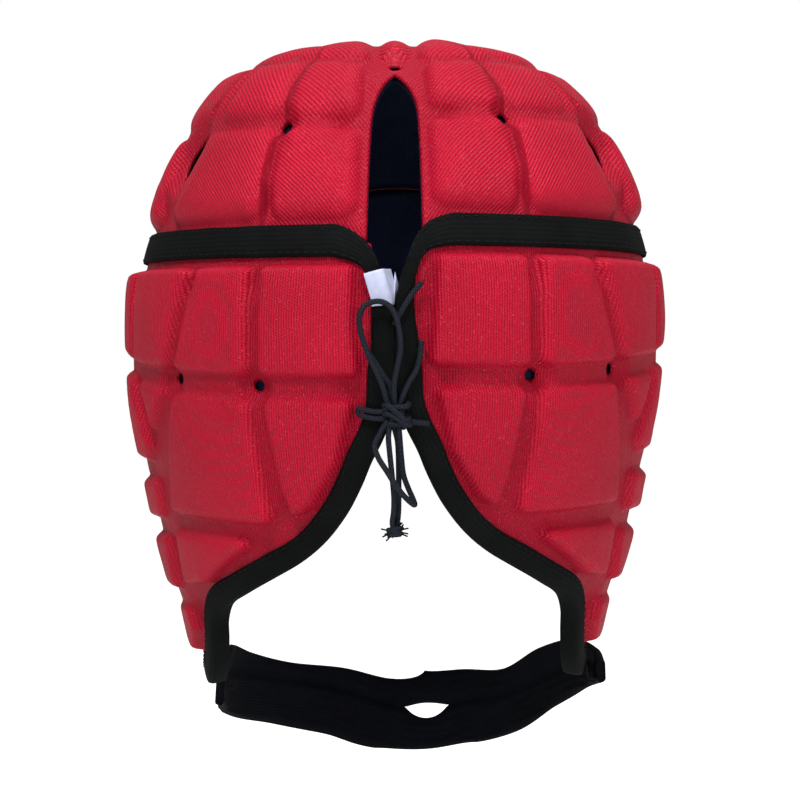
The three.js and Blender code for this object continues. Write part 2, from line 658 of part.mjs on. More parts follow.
// Places along the crown's hem, moved down by a length
function hemPlaces(from, to, below) {
  const steps = Math.ceil(Math.abs(to - from) / HEM_STEP);
  return Array.from({ length: steps + 1 }, (_, i) => {
    const azimuth = from + (to - from) * i / steps;
    return [azimuth, hemDown(azimuth) + below / PROFILE_LENGTH];
  });
}

// The azimuth of the side panels' edge at a level of the slit
function slitEdgeAzimuth(down) {
  const next = SIDE_EDGE.findIndex((row) => row.down > down);
  const [above, below] = [SIDE_EDGE[next - 1], SIDE_EDGE[next]];
  const share = (down - above.down) / (below.down - above.down);
  return above.azimuth + share * (below.azimuth - above.azimuth);
}

function slitAzimuth(down, half) {
  return THREE.MathUtils.radToDeg(Math.asin(half * SLIT_WIDTH / headLevel(down).width));
}

const padded = new THREE.Group();

function addPiece(name, geometry, colour, roughness) {
  const material = new THREE.MeshStandardMaterial({ color: colour, roughness, metalness: 0 });
  const mesh = new THREE.Mesh(geometry, material);
  mesh.name = name;
  padded.add(mesh);
}

const RED = 0xbe1e34;
const BLACK = 0x181a1a;
const NAVY = 0x0e1222;
const LACE_BLACK = 0x1c222c;
const LABEL_WHITE = 0xbec4dc;

// The crown
const slitRight = SLIT_EDGE.map(({ down, half }) => [slitAzimuth(down, half), down]);
const slitFoot = slitRight.at(-1)[0];
const hem = hemPlaces(slitFoot + HEM_FROM_SLIT, 360 - slitFoot - HEM_FROM_SLIT, 0);
const crownOutline = [
  [0, SLIT_TOP],
  ...slitRight,
  ...hem,
  ...mirrored(slitRight).reverse(),
];
const crownOpenings = [
  CROWN_OPENING,
  mirrored(CROWN_OPENING),
  ventLoop(CROWN_VENTS[0]),
  ventLoop(mirrored(CROWN_VENTS)[0]),
  ventLoop(CROWN_VENTS[1]),
];
const ridgeReach = RIDGE_DOWN * PROFILE_LENGTH;
const ridgePad = [
  [-RIDGE_WIDTH / 2, -ridgeReach], [RIDGE_WIDTH / 2, -ridgeReach],
  [RIDGE_WIDTH / 2, ridgeReach], [-RIDGE_WIDTH / 2, ridgeReach],
];
const onHeadPlace = ([azimuth, down], height) => onHead(azimuth, down, height);
const crown = {
  outline: crownOutline,
  openings: crownOpenings,
  pads: [
    { rings: padRings(ridgePad, planChart), rise: CROWN_PAD_RISE },
    ...cellPads(bothSides(CROWN_PADS), CROWN_PAD_RISE),
  ],
  chart: crownChart,
  place: onHeadPlace,
};

// The side panels
const sideTop = hemPlaces(FRONT_SEAM, SIDE_EDGE[0].azimuth, SEAM_GAP).slice(0, -1);
const rightOutline = [...pairs(SIDE_EDGE), ...sideTop];
const rightSide = {
  outline: rightOutline,
  openings: [earLoop(), ...SIDE_VENTS.map(ventLoop)],
  pads: [...cellPads(SIDE_PADS, SIDE_PAD_RISE), ...cellPads([TAB_PAD], TAB_PAD_RISE)],
  chart: sideChart,
  place: onHeadPlace,
};
const leftSide = {
  outline: mirrored(rightOutline),
  openings: rightSide.openings.map(mirrored),
  pads: [
    ...cellPads(SIDE_PADS.map(mirrored), SIDE_PAD_RISE),
    ...cellPads([mirrored(TAB_PAD)], TAB_PAD_RISE),
  ],
  chart: sideChart,
  place: onHeadPlace,
};

// The forehead panel
const round = ([azimuth, down]) => [360 - azimuth, down];
const browRight = pairs(BROW_EDGE);
const brow = [...browRight, ...browRight.slice(0, -1).reverse().map(round)];
const front = {
  outline: [...brow, ...hemPlaces(360 - BROW_EDGE[0].azimuth, BROW_EDGE[0].azimuth, SEAM_GAP)],
  openings: [],
  pads: cellPads([...FRONT_PADS, ...FRONT_PADS.slice(1).map((cell) => cell.map(round))], SIDE_PAD_RISE),
  chart: sideChart,
  place: onHeadPlace,
};

const panels = { crown, left_side: leftSide, right_side: rightSide, front };
Object.entries(panels).forEach(([name, panel]) => {
  addPiece(`${name}_panel`, layer({ ...panel, bottom: FABRIC_BOTTOM, top: FABRIC_TOP }), RED, 0.75);
  const flatPads = panel.pads.map((pad) => ({ rings: pad.rings.slice(0, 1), rise: 0 }));
  addPiece(
    `${name}_lining`,
    layer({ ...panel, pads: flatPads, bottom: 0, top: LINING_THICK }),
    NAVY,
    0.9,
  );
});

// The tape
const bandEnd = slitFoot + BAND_FROM_SLIT;
const band = {
  outline: [
    ...hemPlaces(bandEnd, 360 - bandEnd, BAND_WIDTH / 2),
    ...hemPlaces(360 - bandEnd, bandEnd, -BAND_WIDTH / 2),
  ],
  chart: crownChart,
  place: onHeadPlace,
  bottom: TAPE_BOTTOM,
  top: TAPE_TOP,
};
addPiece('crown_band', layer(band), BLACK, 0.8);

const tapeHeights = {
  bottom: -TAPE_GAP - TAPE_THICK,
  under: -TAPE_GAP,
  over: TAPE_BOTTOM,
  top: TAPE_TOP,
  gap: TAPE_GAP,
};
const sideEdge = pairs(SIDE_EDGE);
const bindingTop = HEM_DOWN + (BAND_WIDTH / 2 + LAYER_GAP) / PROFILE_LENGTH;
const belowBand = [slitEdgeAzimuth(bindingTop), bindingTop];
const boundEdge = [belowBand, ...sideEdge.slice(1)];
addPiece('right_binding', foldedTape(boundEdge, BINDING_WIDTH, BINDING_INSIDE, tapeHeights), BLACK, 0.8);
addPiece(
  'left_binding',
  foldedTape(mirrored(boundEdge).reverse(), BINDING_WIDTH, BINDING_INSIDE, tapeHeights),
  BLACK,
  0.8,
);
addPiece('brow_binding', foldedTape(brow, BINDING_WIDTH, BINDING_INSIDE, tapeHeights), BLACK, 0.8);

// The chin strap
const strapMiddles = STRAP_STATIONS.map((row) => new THREE.Vector3(
  row.across * HEAD_WIDTH / 2,
  row.forward * FRONT_DEPTH,
  -HEAD_DROP - row.drop * STRAP_DROP,
));
const strapCurve = new THREE.CatmullRomCurve3(strapMiddles, false, 'catmullrom');
const stationCount = STRAP_STATIONS.length - 1;

function strapPlace([station, across], height) {
  const t = station / stationCount;
  const middle = strapCurve.getPoint(t);
  const heading = strapCurve.getTangent(t);
  const low = Math.min(Math.floor(station), stationCount - 1);
  const share = station - low;
  const lean = radians(THREE.MathUtils.lerp(
    STRAP_STATIONS[low].lean,
    STRAP_STATIONS[low + 1].lean,
    share,
  ));
  const out = new THREE.Vector3(heading.y, -heading.x, 0).normalize();
  const up = new THREE.Vector3(0, 0, Math.cos(lean)).addScaledVector(out, Math.sin(lean));
  up.addScaledVector(heading, -up.dot(heading)).normalize();
  out.crossVectors(heading, up).normalize();
  return middle.addScaledVector(up, across).addScaledVector(out, height);
}

const strapSteps = 2 * stationCount;
const strapEdge = (side) => Array.from({ length: strapSteps + 1 }, (_, i) => {
  const station = i / strapSteps * stationCount;
  const low = Math.min(Math.floor(station), stationCount - 1);
  const width = THREE.MathUtils.lerp(
    STRAP_STATIONS[low][side],
    STRAP_STATIONS[low + 1][side],
    station - low,
  );
  return [station, width * STRAP_WIDTH * (side === 'above' ? 1 : -1)];
});
const strapLength = strapCurve.getLength();
const strapChart = ([station, across]) => new THREE.Vector2(station * strapLength / stationCount, across);
const slotStation = stationCount * SLOT_AT;
const slotCorners = 10;
const slot = Array.from({ length: slotCorners }, (_, i) => {
  const turn = 2 * Math.PI * i / slotCorners;
  const along = SLOT_LENGTH / 2 * Math.cos(turn);
  const lens = SLOT_HEIGHT / 2 * Math.sin(turn) * Math.abs(Math.sin(turn));
  return [slotStation + along * stationCount / strapLength, lens];
});
addPiece('chin_strap', layer({
  outline: [...strapEdge('below'), ...strapEdge('above').reverse()],
  openings: [slot],
  chart: strapChart,
  place: strapPlace,
  bottom: -STRAP_THICK / 2,
  top: STRAP_THICK / 2,
}), BLACK, 0.85);
const [patchFrom, patchTo] = FASTENER_STATIONS;
const patchHalf = FASTENER_WIDTH / 2;
const patchMiddle = (patchFrom + patchTo) / 2;
addPiece('strap_fastener', layer({
  outline: [
    [patchFrom, -patchHalf], [patchMiddle, -patchHalf], [patchTo, -patchHalf],
    [patchTo, patchHalf], [patchMiddle, patchHalf], [patchFrom, patchHalf],
  ],
  chart: strapChart,
  place: strapPlace,
  bottom: STRAP_THICK / 2 + LAYER_GAP,
  top: STRAP_THICK / 2 + LAYER_GAP + FASTENER_THICK,
}), BLACK, 0.9);

// The care label, folded over the left tape at the slit
const labelHeights = {
  bottom: tapeHeights.bottom - LAYER_GAP - LABEL_THICK,
  under: tapeHeights.bottom - LAYER_GAP,
  over: TAPE_TOP + LAYER_GAP,
  top: TAPE_TOP + LAYER_GAP + LABEL_THICK,
  gap: TAPE_GAP + TAPE_THICK + LAYER_GAP,
};
const labelEdge = [0, 0.5, 1].map((share) => {
  const down = LABEL_DOWN + share * LABEL_HEIGHT / PROFILE_LENGTH;
  return [-slitEdgeAzimuth(down), down];
});
addPiece(
  'care_label',
  foldedTape(labelEdge.reverse(), LABEL_WIDTH - labelHeights.gap, LABEL_WIDTH / 2, labelHeights),
  LABEL_WHITE,
  0.5,
);

// The lace
const laces = {
  lace_upper: LACE_UPPER,
  lace_left: LACE_LEFT,
  lace_right: LACE_RIGHT,
  lace_knot_left: KNOT_TO_LEFT,
  lace_knot_right: KNOT_TO_RIGHT,
  bow_loop_up: BOW_LOOP_UP,
  bow_loop_down: BOW_LOOP_DOWN,
  lace_tail_left: TAIL_LEFT,
  lace_tail_right: TAIL_RIGHT,
};
Object.entries(laces).forEach(([name, points]) => {
  addPiece(name, tube(points.map(lacePoint), LACE_DIAMETER), LACE_BLACK, 0.6);
});
const knot = lump(KNOT_WIDTH, KNOT_WIDTH, KNOT_THICK, 1);
knot.translate(...lacePoint(KNOT_AT).toArray());
addPiece('bow_knot', knot, LACE_BLACK, 0.6);
const endKnot = lump(END_KNOT_WIDTH, END_KNOT_WIDTH, END_KNOT_WIDTH, 1);
endKnot.translate(...lacePoint(END_KNOT_AT).toArray());
addPiece('lace_end_knot', endKnot, LACE_BLACK, 0.6);

export default padded;
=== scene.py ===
"""A padded headgear, dressed in knit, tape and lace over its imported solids."""
import math
import random

import bpy
import numpy as np
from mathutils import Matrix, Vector, geometry, noise


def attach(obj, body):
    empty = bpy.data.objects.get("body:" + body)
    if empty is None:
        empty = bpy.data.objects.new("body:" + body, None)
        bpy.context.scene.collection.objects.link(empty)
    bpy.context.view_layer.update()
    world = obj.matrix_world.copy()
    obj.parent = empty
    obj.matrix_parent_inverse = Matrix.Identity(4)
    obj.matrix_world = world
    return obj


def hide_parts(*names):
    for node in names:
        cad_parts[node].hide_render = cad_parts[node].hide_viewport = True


bl_info = {
    "name": "Padded headgear",
    "version": (1, 0, 0),
    "blender": (4, 5, 0),
    "location": "3D View > Sidebar > Headgear",
    "description": "Builds the knit panels, tape, strap, lace and stage of a padded headgear",
    "category": "Add Mesh",
}

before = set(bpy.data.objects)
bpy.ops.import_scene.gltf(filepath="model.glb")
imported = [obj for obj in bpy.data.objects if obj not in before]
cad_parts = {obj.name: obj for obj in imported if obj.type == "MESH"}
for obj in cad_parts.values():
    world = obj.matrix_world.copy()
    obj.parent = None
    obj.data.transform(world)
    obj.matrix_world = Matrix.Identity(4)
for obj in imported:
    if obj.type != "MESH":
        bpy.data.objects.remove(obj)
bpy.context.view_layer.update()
MM = 0.001
BODY = "root"

# The head's form, in millimetres, as in the part's source
HEAD_WIDTH, BACK_DEPTH, FRONT_DEPTH, HEAD_DROP = 161.0, 95.0, 97.0, 205.0
FABRIC_BOTTOM, FABRIC_TOP, TAPE_TOP = 1.3, 3.3, 5.1
SIDE_LIFT, SLIT_TOP, LIFTED_FROM = 3.6, 0.205, 0.310
HEM_DOWN, HEM_DOWN_FRONT, HEM_RISES_FROM = 0.434, 0.325, 100.0
PATTERN_BOW = 6.0
# Columns: drop, half width, back depth and front depth, as shares of the sizes above
HEAD_SECTIONS = (
    (0.000, 0.000, 0.000, 0.000), (0.003, 0.273, 0.273, 0.273), (0.020, 0.497, 0.497, 0.497),
    (0.049, 0.646, 0.646, 0.646), (0.088, 0.745, 0.745, 0.745), (0.132, 0.814, 0.814, 0.814),
    (0.180, 0.876, 0.876, 0.876), (0.234, 0.932, 0.932, 0.932), (0.293, 0.981, 0.981, 0.981),
    (0.341, 1.010, 0.997, 0.997), (0.400, 1.020, 1.000, 1.000), (0.468, 1.021, 0.992, 0.990),
    (0.537, 1.011, 0.975, 0.970), (0.605, 0.984, 0.945, 0.950), (0.678, 0.940, 0.905, 0.920),
    (0.751, 0.897, 0.865, 0.890), (0.820, 0.853, 0.830, 0.860), (0.878, 0.804, 0.800, 0.830),
    (0.937, 0.766, 0.775, 0.800), (1.000, 0.729, 0.750, 0.770),
)
# Places on the head are azimuth in degrees, from the back round by the right, and the share of the
# way down to the end of the jaw tabs.
SLIT_WIDTH = 17.0
SLIT_EDGE = ((0.226, 0.20), (0.256, 0.36), (0.290, 0.42), (0.350, 0.46), (0.434, 0.49))
SIDE_EDGE = (
    (5.2, 0.4355), (3.8, 0.468), (2.1, 0.50), (1.15, 0.55), (1.25, 0.60), (1.9, 0.640), (3.7, 0.668),
    (6.2, 0.695), (8.9, 0.728), (12.6, 0.762), (18.0, 0.795), (24.5, 0.820), (33.0, 0.841),
    (44.0, 0.864), (54.5, 0.884), (61.0, 0.910), (65.0, 0.942), (70.5, 0.973), (79.0, 0.995),
    (90.0, 0.995), (99.5, 0.975), (106.0, 0.94), (110.0, 0.895), (114.0, 0.83), (118.0, 0.76),
    (121.0, 0.69), (123.5, 0.62), (127.0, 0.555),
)
FRONT_SEAM, RIDGE_DOWN, RIDGE_WIDTH = 127.0, 0.172, 11.2
EDGE_FLAT, OPENING_FLAT = 10.0, 6.0
BROW_EDGE = ((127.4, 0.554), (141.0, 0.534), (154.0, 0.524), (167.0, 0.520), (180.0, 0.519))
CROWN_PADS = (
    ((22, 0.062), (46, 0.052), (44, 0.184), (7.5, 0.184)),
    ((50, 0.050), (108, 0.050), (112, 0.184), (46, 0.184)),
    ((113, 0.052), (158, 0.062), (172, 0.184), (114, 0.184)),
    ((8.5, 0.187), (32, 0.187), (31, 0.280), (7.6, 0.280)),
    ((32, 0.187), (57, 0.187), (56, 0.280), (31, 0.280)),
    ((57, 0.187), (90, 0.187), (90, 0.280), (56, 0.280)),
    ((90, 0.187), (120, 0.187), (120, 0.280), (90, 0.280)),
    ((120, 0.187), (150, 0.187), (150, 0.280), (120, 0.280)),
    ((150, 0.187), (180, 0.187), (180, 0.280), (150, 0.280)),
    ((7.4, 0.284), (30.2, 0.284), (30.2, 0.412), (7.2, 0.412)),
    ((30.2, 0.284), (59.5, 0.284), (61, 0.345), (68.5, 0.412), (30.2, 0.412)),
    ((75.5, 0.284), (104, 0.284), (106, 0.412), (72, 0.412), (72.5, 0.365)),
    ((104, 0.284), (133, 0.284), (133, 0.375), (106, 0.408)),
    ((133, 0.284), (156, 0.284), (154, 0.335), (133, 0.370)),
)
SIDE_PADS = (
    ((7.4, 0.455), (30, 0.455), (30, 0.602), (5.6, 0.602)),
    ((30, 0.455), (46, 0.455), (54.5, 0.594), (30, 0.602)),
    ((46, 0.455), (73.5, 0.455), (73.5, 0.583), (54.5, 0.593)),
    ((73.5, 0.455), (100, 0.455), (100, 0.563), (73.5, 0.582)),
    ((100, 0.451), (122.8, 0.438), (121.8, 0.522), (112, 0.560), (100, 0.562)),
    ((6.4, 0.610), (29.6, 0.610), (27, 0.728), (24.6, 0.782), (17.6, 0.756), (11.0, 0.700)),
    ((30.4, 0.610), (54, 0.603), (65.5, 0.770), (27.2, 0.783)),
    ((28.4, 0.790), (65, 0.777), (67, 0.868), (55, 0.862)),
    ((55.5, 0.600), (72.5, 0.588), (64.4, 0.680)),
    ((73, 0.588), (84, 0.574), (80.5, 0.700), (70, 0.706), (65.6, 0.684)),
    ((67, 0.712), (83, 0.712), (88, 0.781), (69, 0.781)),
    ((88, 0.742), (108, 0.742), (115, 0.781), (90, 0.781)),
    ((109, 0.566), (121.0, 0.543), (114.6, 0.736), (109.5, 0.740), (107.5, 0.70)),
    ((68.0, 0.787), (90, 0.787), (90, 0.872), (70, 0.872)),
    ((90, 0.787), (112.5, 0.787), (107, 0.872), (90, 0.872)),
)
TAB_PAD = ((71, 0.880), (105, 0.880), (101, 0.930), (90, 0.962), (78, 0.962), (70, 0.926))
FRONT_PADS = (
    ((169.5, 0.348), (190.5, 0.348), (190.5, 0.486), (169.5, 0.486)),
    ((148.5, 0.381), (169.5, 0.350), (169.5, 0.486), (148.5, 0.491)),
    ((132.6, 0.416), (148.5, 0.383), (148.5, 0.491), (132.6, 0.501)),
)
# How far the crown's ribs lean from the front-to-back line, in degrees, by azimuth
CROWN_RIB_TURNS = ((0, 30), (30.5, 25), (32, 6), (60, 4), (62, -16), (100, -22), (180, -22))
CROWN_VENTS = ((31, 0.282), (-31, 0.282), (0, 0.186))
SIDE_VENTS = ((30.4, 0.606), (55.0, 0.5975))
CROWN_OPENING = ((66.5, 0.280), (71, 0.298), (73, 0.318), (71, 0.340), (66.5, 0.358), (62.8, 0.332),
                 (61.8, 0.302))
EAR = (96.5, 0.647, 15.0, 19.0)
# Columns: across, forward, drop, edge above and edge below the fold, and lean in degrees
STRAP_WIDTH, STRAP_DROP, STRAP_THICK = 25.0, 21.0, 3.0
STRAP_STATIONS = (
    (-0.735, -0.03, 0.12, 0.16, 0.34, 4), (-0.722, 0.12, 0.06, 0.38, 0.46, 6),
    (-0.715, 0.3, 0.06, 0.36, 0.60, 10), (-0.640, 0.5, 0.16, 0.28, 0.66, 8),
    (-0.480, 0.66, 0.30, 0.22, 0.68, 4), (-0.260, 0.78, 0.50, 0.28, 0.70, 0),
    (-0.040, 0.84, 0.78, 0.34, 0.70, 0), (0.140, 0.845, 0.94, 0.58, 0.56, 0),
    (0.320, 0.8, 0.72, 0.44, 0.64, 0), (0.505, 0.7, 0.56, 0.34, 0.58, 2),
    (0.665, 0.54, 0.22, 0.40, 0.46, 4), (0.790, 0.37, -0.06, 0.34, 0.42, 4),
    (0.855, 0.19, -0.08, 0.24, 0.28, 2), (0.866, 0.05, -0.06, 0.20, 0.20, 2),
    (0.866, -0.07, -0.06, 0.15, 0.15, 2),
)
SLOT_AT, SLOT_LENGTH, SLOT_HEIGHT = 0.5, 19.0, 5.4
# Lace points: x, how far the lace's middle stands out from the tape's face, and how far above the
# bow's knot it lies
LACE_STRETCHES = {
    "lace_upper": ((8.6, 1.4, 41.4), (7.4, 1.4, 40.0), (5.2, 1.4, 37.2), (3.2, 1.5, 34.0),
                   (1.4, 1.3, 30.8), (-0.1, 0.6, 28.0)),
    "lace_left": ((-8.4, 1.4, 19.6), (-7.2, 1.4, 18.0), (-5.4, 1.4, 15.4), (-3.4, 1.8, 12.2),
                  (-1.4, 2.4, 9.2), (-0.9, 2.8, 5.7), (-0.4, 2.8, 2.4)),
    "lace_right": ((8.4, 0.8, 23.2), (8.2, 0.9, 21.0), (7.8, 1.1, 17.4), (6.6, 1.6, 13.6),
                   (4.4, 2.0, 10.0), (2.4, 2.8, 5.6), (1.4, 2.8, 2.4)),
    "lace_knot_left": ((-1.5, 2.8, 0.9), (-4.3, 2.6, 0.9), (-6.6, 2.2, 1.0), (-9.2, 1.5, 1.5),
                       (-11.0, 1.2, 1.9), (-11.6, 1.2, 0.9), (-10.8, 1.2, -0.1), (-9.0, 1.5, -0.6),
                       (-6.4, 2.2, -1.1), (-4.2, 2.6, -1.2), (-1.5, 2.8, -1.2)),
    "lace_knot_right": ((1.6, 2.9, -1.2), (4.9, 2.9, -2.0), (7.0, 2.1, -2.4), (9.0, 1.5, -2.6),
                        (10.9, 1.2, -2.8)),
}
FREE_LACE = {
    "bow_loop_up": ((-1.2, 3.4, 2.2), (-2.6, 4.4, 5.0), (-3.3, 5.2, 7.8), (-5.0, 5.6, 12.0), (-7.4, 5.6, 17.0),
                    (-9.2, 5.4, 21.4), (-10.6, 5.0, 26.2), (-10.9, 4.6, 30.4), (-9.7, 4.2, 33.4),
                    (-7.4, 4.0, 34.9), (-4.4, 4.0, 35.2), (-1.6, 4.2, 33.8), (0.3, 4.5, 30.6),
                    (1.5, 5.0, 25.8), (1.9, 5.4, 21.0), (1.2, 5.6, 16.6), (0.2, 5.4, 11.8),
                    (-0.2, 5.0, 8.2), (-0.1, 4.4, 5.2), (0.0, 3.4, 2.2)),
    "bow_loop_down": ((-1.6, 3.4, -1.4), (-3.4, 4.6, -3.8), (-4.8, 6.6, -6.4), (-6.2, 8.6, -9.6),
                      (-5.0, 10.4, -13.4), (-2.6, 12.0, -17.2), (-0.2, 13.2, -21.0),
                      (2.6, 13.8, -24.8), (5.2, 13.0, -27.4), (6.3, 10.2, -28.0),
                      (5.7, 7.6, -26.2), (4.2, 6.2, -22.8), (2.8, 5.6, -18.8), (2.2, 5.4, -14.0),
                      (1.8, 5.2, -9.4), (1.5, 4.8, -5.6), (1.0, 3.6, -2.0)),
    "lace_tail_left": ((-0.8, 3.4, -1.6), (-1.6, 4.6, -4.2), (-1.9, 6.6, -7.0), (-1.6, 7.8, -11.0),
                       (-1.1, 8.4, -15.8), (-0.6, 8.8, -20.8), (-0.2, 9.1, -25.8),
                       (-0.3, 9.4, -30.4), (-0.7, 9.5, -33.7), (-0.3, 9.3, -36.0)),
    "lace_tail_right": ((0.2, 3.2, -1.6), (0.1, 3.2, -4.4), (0.9, 2.2, -8.0), (1.2, 2.2, -12.0),
                        (1.3, 2.6, -16.8), (1.3, 3.6, -21.6), (1.3, 5.4, -26.4),
                        (1.2, 7.2, -30.6), (0.8, 8.4, -34.0), (0.3, 9.2, -36.2)),
}
KNOT_AT, END_KNOT_AT, KNOT_DROP = (0.6, 2.6, 0.0), (0.0, 9.2, -36.6), 0.5688
LABEL_DOWN, LABEL_HEIGHT = 0.4695, 10.5
# The band's two ends, which turn down into the bindings. Columns: azimuth, down and half width. Side 1 is right.
BAND_CORNERS = {
    1: ((3.4, 0.479, 2.7), (4.2, 0.466, 2.9), (5.3, 0.4545, 3.2), (6.6, 0.446, 3.6), (8.6, 0.4395, 4.3)),
    -1: ((3.95, 0.476, 3.0), (4.9, 0.4625, 3.2), (6.2, 0.4525, 3.6), (8.2, 0.444, 4.1), (10.6, 0.438, 4.7)),
}
# How far the bindings reach on to the panels, as a share, by the distance from their tops in millimetres
TAPE_REACH = {
    "right_binding": ((0, 0.38), (6, 0.42), (16, 0.62), (24, 0.86), (31, 1.0)),
    "left_binding": ((0, 0.55), (6, 0.65), (16, 0.78), (24, 0.88), (31, 1.0)),
    "brow_binding": ((0, 1.0),),
}


# The head's surface

def catmull(points, at):
    """Points of a uniform Catmull-Rom curve at shares from 0 to 1 of its rows."""
    points = np.asarray(points, float)
    last = len(points) - 1
    spot = np.clip(np.atleast_1d(at), 0, 1) * last
    row = np.minimum(spot.astype(int), last - 1)
    share = (spot - row)[:, None]
    start, end = points[row], points[row + 1]
    before = np.where((row == 0)[:, None], 2 * points[0] - points[1], points[row - 1])
    after = np.where((row == last - 1)[:, None], 2 * points[-1] - points[-2], points[np.minimum(row + 2, last)])
    leave, arrive = (end - before) / 2, (after - start) / 2
    return (start + leave * share + (3 * end - 3 * start - 2 * leave - arrive) * share ** 2
            + (2 * start - 2 * end + leave + arrive) * share ** 3)


def smooth(share):
    share = np.clip(share, 0, 1)
    return share * share * (3 - 2 * share)


def rounded(edge, radius):
    """How full a rounded edge is, from 0 to 1, at distances in from it."""
    return np.sqrt(1 - (1 - np.minimum(edge / radius, 1)) ** 2)


def unit(rows):
    return rows / np.linalg.norm(rows, axis=1)[:, None]


def sideways(line):
    """Unit steps across a flat line, to the left of its heading."""
    heading = unit(np.gradient(line, axis=0))
    return np.stack((-heading[:, 1], heading[:, 0]), 1)


SECTION_TABLE = np.array(HEAD_SECTIONS) * (HEAD_DROP, HEAD_WIDTH / 2, BACK_DEPTH, FRONT_DEPTH)
PROFILE_STEPS = np.linspace(0, 1, 401)
PROFILE_ARC = np.concatenate(([0.0], np.cumsum(np.linalg.norm(
    np.diff(catmull(SECTION_TABLE, PROFILE_STEPS)[:, :2], axis=0), axis=1))))
PROFILE_LENGTH = PROFILE_ARC[-1]


def head_level(down):
    """Drop, half width, back depth and front depth at shares of the way down."""
    steps = np.interp(np.clip(down, 0, 1) * PROFILE_LENGTH, PROFILE_ARC, PROFILE_STEPS)
    return catmull(SECTION_TABLE, steps).T


def head_surface(azimuth, down):
    drop, width, back, front = head_level(down)
    angle = np.radians(azimuth)
    depth = np.where(np.cos(angle) > 0, back, front)
    hung = smooth((down - SLIT_TOP) / (LIFTED_FROM - SLIT_TOP))
    turned = np.cos(angle / 2) * np.where(azimuth < 0, -1, 1)
    return np.stack((width * np.sin(angle), -depth * np.cos(angle), SIDE_LIFT / 2 * turned * hung - drop), 1)


def head_normal(azimuth, down):
    step, turn = 0.004, 0.5
    place = np.clip(down, 2 * step, 1 - step)
    along = head_surface(azimuth, place + step) - head_surface(azimuth, place - step)
    around = head_surface(azimuth + turn, place) - head_surface(azimuth - turn, place)
    around[np.abs(azimuth) <= turn, 2] = 0
    return unit(np.cross(along, around))


def on_head(azimuth, down, height):
    azimuth, down = np.asarray(azimuth, float), np.asarray(down, float)
    height = np.broadcast_to(height, azimuth.shape)
    return head_surface(azimuth, down) + head_normal(azimuth, down) * height[:, None]


def degree_length(down):
    _, width, back, _ = head_level(down)
    return np.radians((width + back) / 2)


DOWN_STEPS = np.linspace(0, 1, 801)
DROP_STEPS = head_level(DOWN_STEPS)[0]


def down_at(drop):
    return np.interp(drop, DROP_STEPS, DOWN_STEPS)


# Flat patterns, in millimetres, and the way back to places on the head

def side_flat(places):
    azimuth, down = np.asarray(places, float).T
    return np.stack((np.radians(azimuth) * HEAD_WIDTH / 2,
                     PATTERN_BOW * (azimuth / 180) ** 2 - down * PROFILE_LENGTH), 1)


def side_places(flat):
    azimuth = np.degrees(flat[:, 0] / (HEAD_WIDTH / 2))
    return np.stack((azimuth, (PATTERN_BOW * (azimuth / 180) ** 2 - flat[:, 1]) / PROFILE_LENGTH), 1)


def crown_flat(places):
    azimuth, down = np.asarray(places, float).T
    angle = np.radians(azimuth)
    return np.stack((down * PROFILE_LENGTH * np.sin(angle), -down * PROFILE_LENGTH * np.cos(angle)), 1)


def crown_places(flat):
    return np.stack((np.degrees(np.arctan2(flat[:, 0], -flat[:, 1])),
                     np.hypot(flat[:, 0], flat[:, 1]) / PROFILE_LENGTH), 1)


def mirrored(places):
    return tuple((-azimuth, down) for azimuth, down in places)


def hem_down(azimuth):
    turned = np.abs((np.asarray(azimuth, float) + 180) % 360 - 180)
    rise = smooth((turned - HEM_RISES_FROM) / (180 - HEM_RISES_FROM))
    return HEM_DOWN + (HEM_DOWN_FRONT - HEM_DOWN) * rise


def hem_places(start, end, below):
    azimuth = np.linspace(start, end, 1 + math.ceil(abs(end - start)))
    return list(zip(azimuth, hem_down(azimuth) + below / PROFILE_LENGTH))


def slit_azimuth(down, half):
    return math.degrees(math.asin(half * SLIT_WIDTH / head_level(np.array([down]))[1][0]))


# Loops and distances

def spaced(points, step, closed=False):
    """Points along a polyline at an even spacing near step."""
    points = np.asarray(points, float)
    if closed:
        points = np.vstack((points, points[:1]))
    arc = np.concatenate(([0.0], np.cumsum(np.linalg.norm(np.diff(points, axis=0), axis=1))))
    count = max(2, round(arc[-1] / step))
    at = np.linspace(0, arc[-1], count + 1)
    if closed:
        at = at[:-1]
    return np.stack([np.interp(at, arc, column) for column in points.T], 1)


def curved(points, per_row=12):
    return catmull(points, np.linspace(0, 1, (len(points) - 1) * per_row + 1))


def inset(loop, distance):
    """A loop's corners moved inwards. The loop turns left."""
    before = loop - np.roll(loop, 1, 0)
    before /= np.linalg.norm(before, axis=1)[:, None]
    after = np.roll(before, -1, 0)
    turn = 1 + (before * after).sum(1)
    inwards = np.stack((-before[:, 1] - after[:, 1], before[:, 0] + after[:, 0]), 1)
    return loop + inwards * (distance / turn)[:, None]


def turns_left(loop):
    x, y = loop.T
    return (x * np.roll(y, -1) - np.roll(x, -1) * y).sum() > 0


def depth_in(points, loop):
    """How far points lie inside a loop, negative outside it."""
    best = np.full(len(points), np.inf)
    inside = np.zeros(len(points), bool)
    for a, b in zip(loop, np.roll(loop, -1, 0)):
        side = b - a
        share = np.clip(((points - a) @ side) / max(side @ side, 1e-12), 0, 1)
        best = np.minimum(best, ((points - a - share[:, None] * side) ** 2).sum(1))
        crosses = (a[1] > points[:, 1]) != (b[1] > points[:, 1])
        if a[1] != b[1]:
            inside ^= crosses & (points[:, 0] < (b[0] - a[0]) * (points[:, 1] - a[1]) / (b[1] - a[1]) + a[0])
    return np.where(inside, 1, -1) * np.sqrt(best)


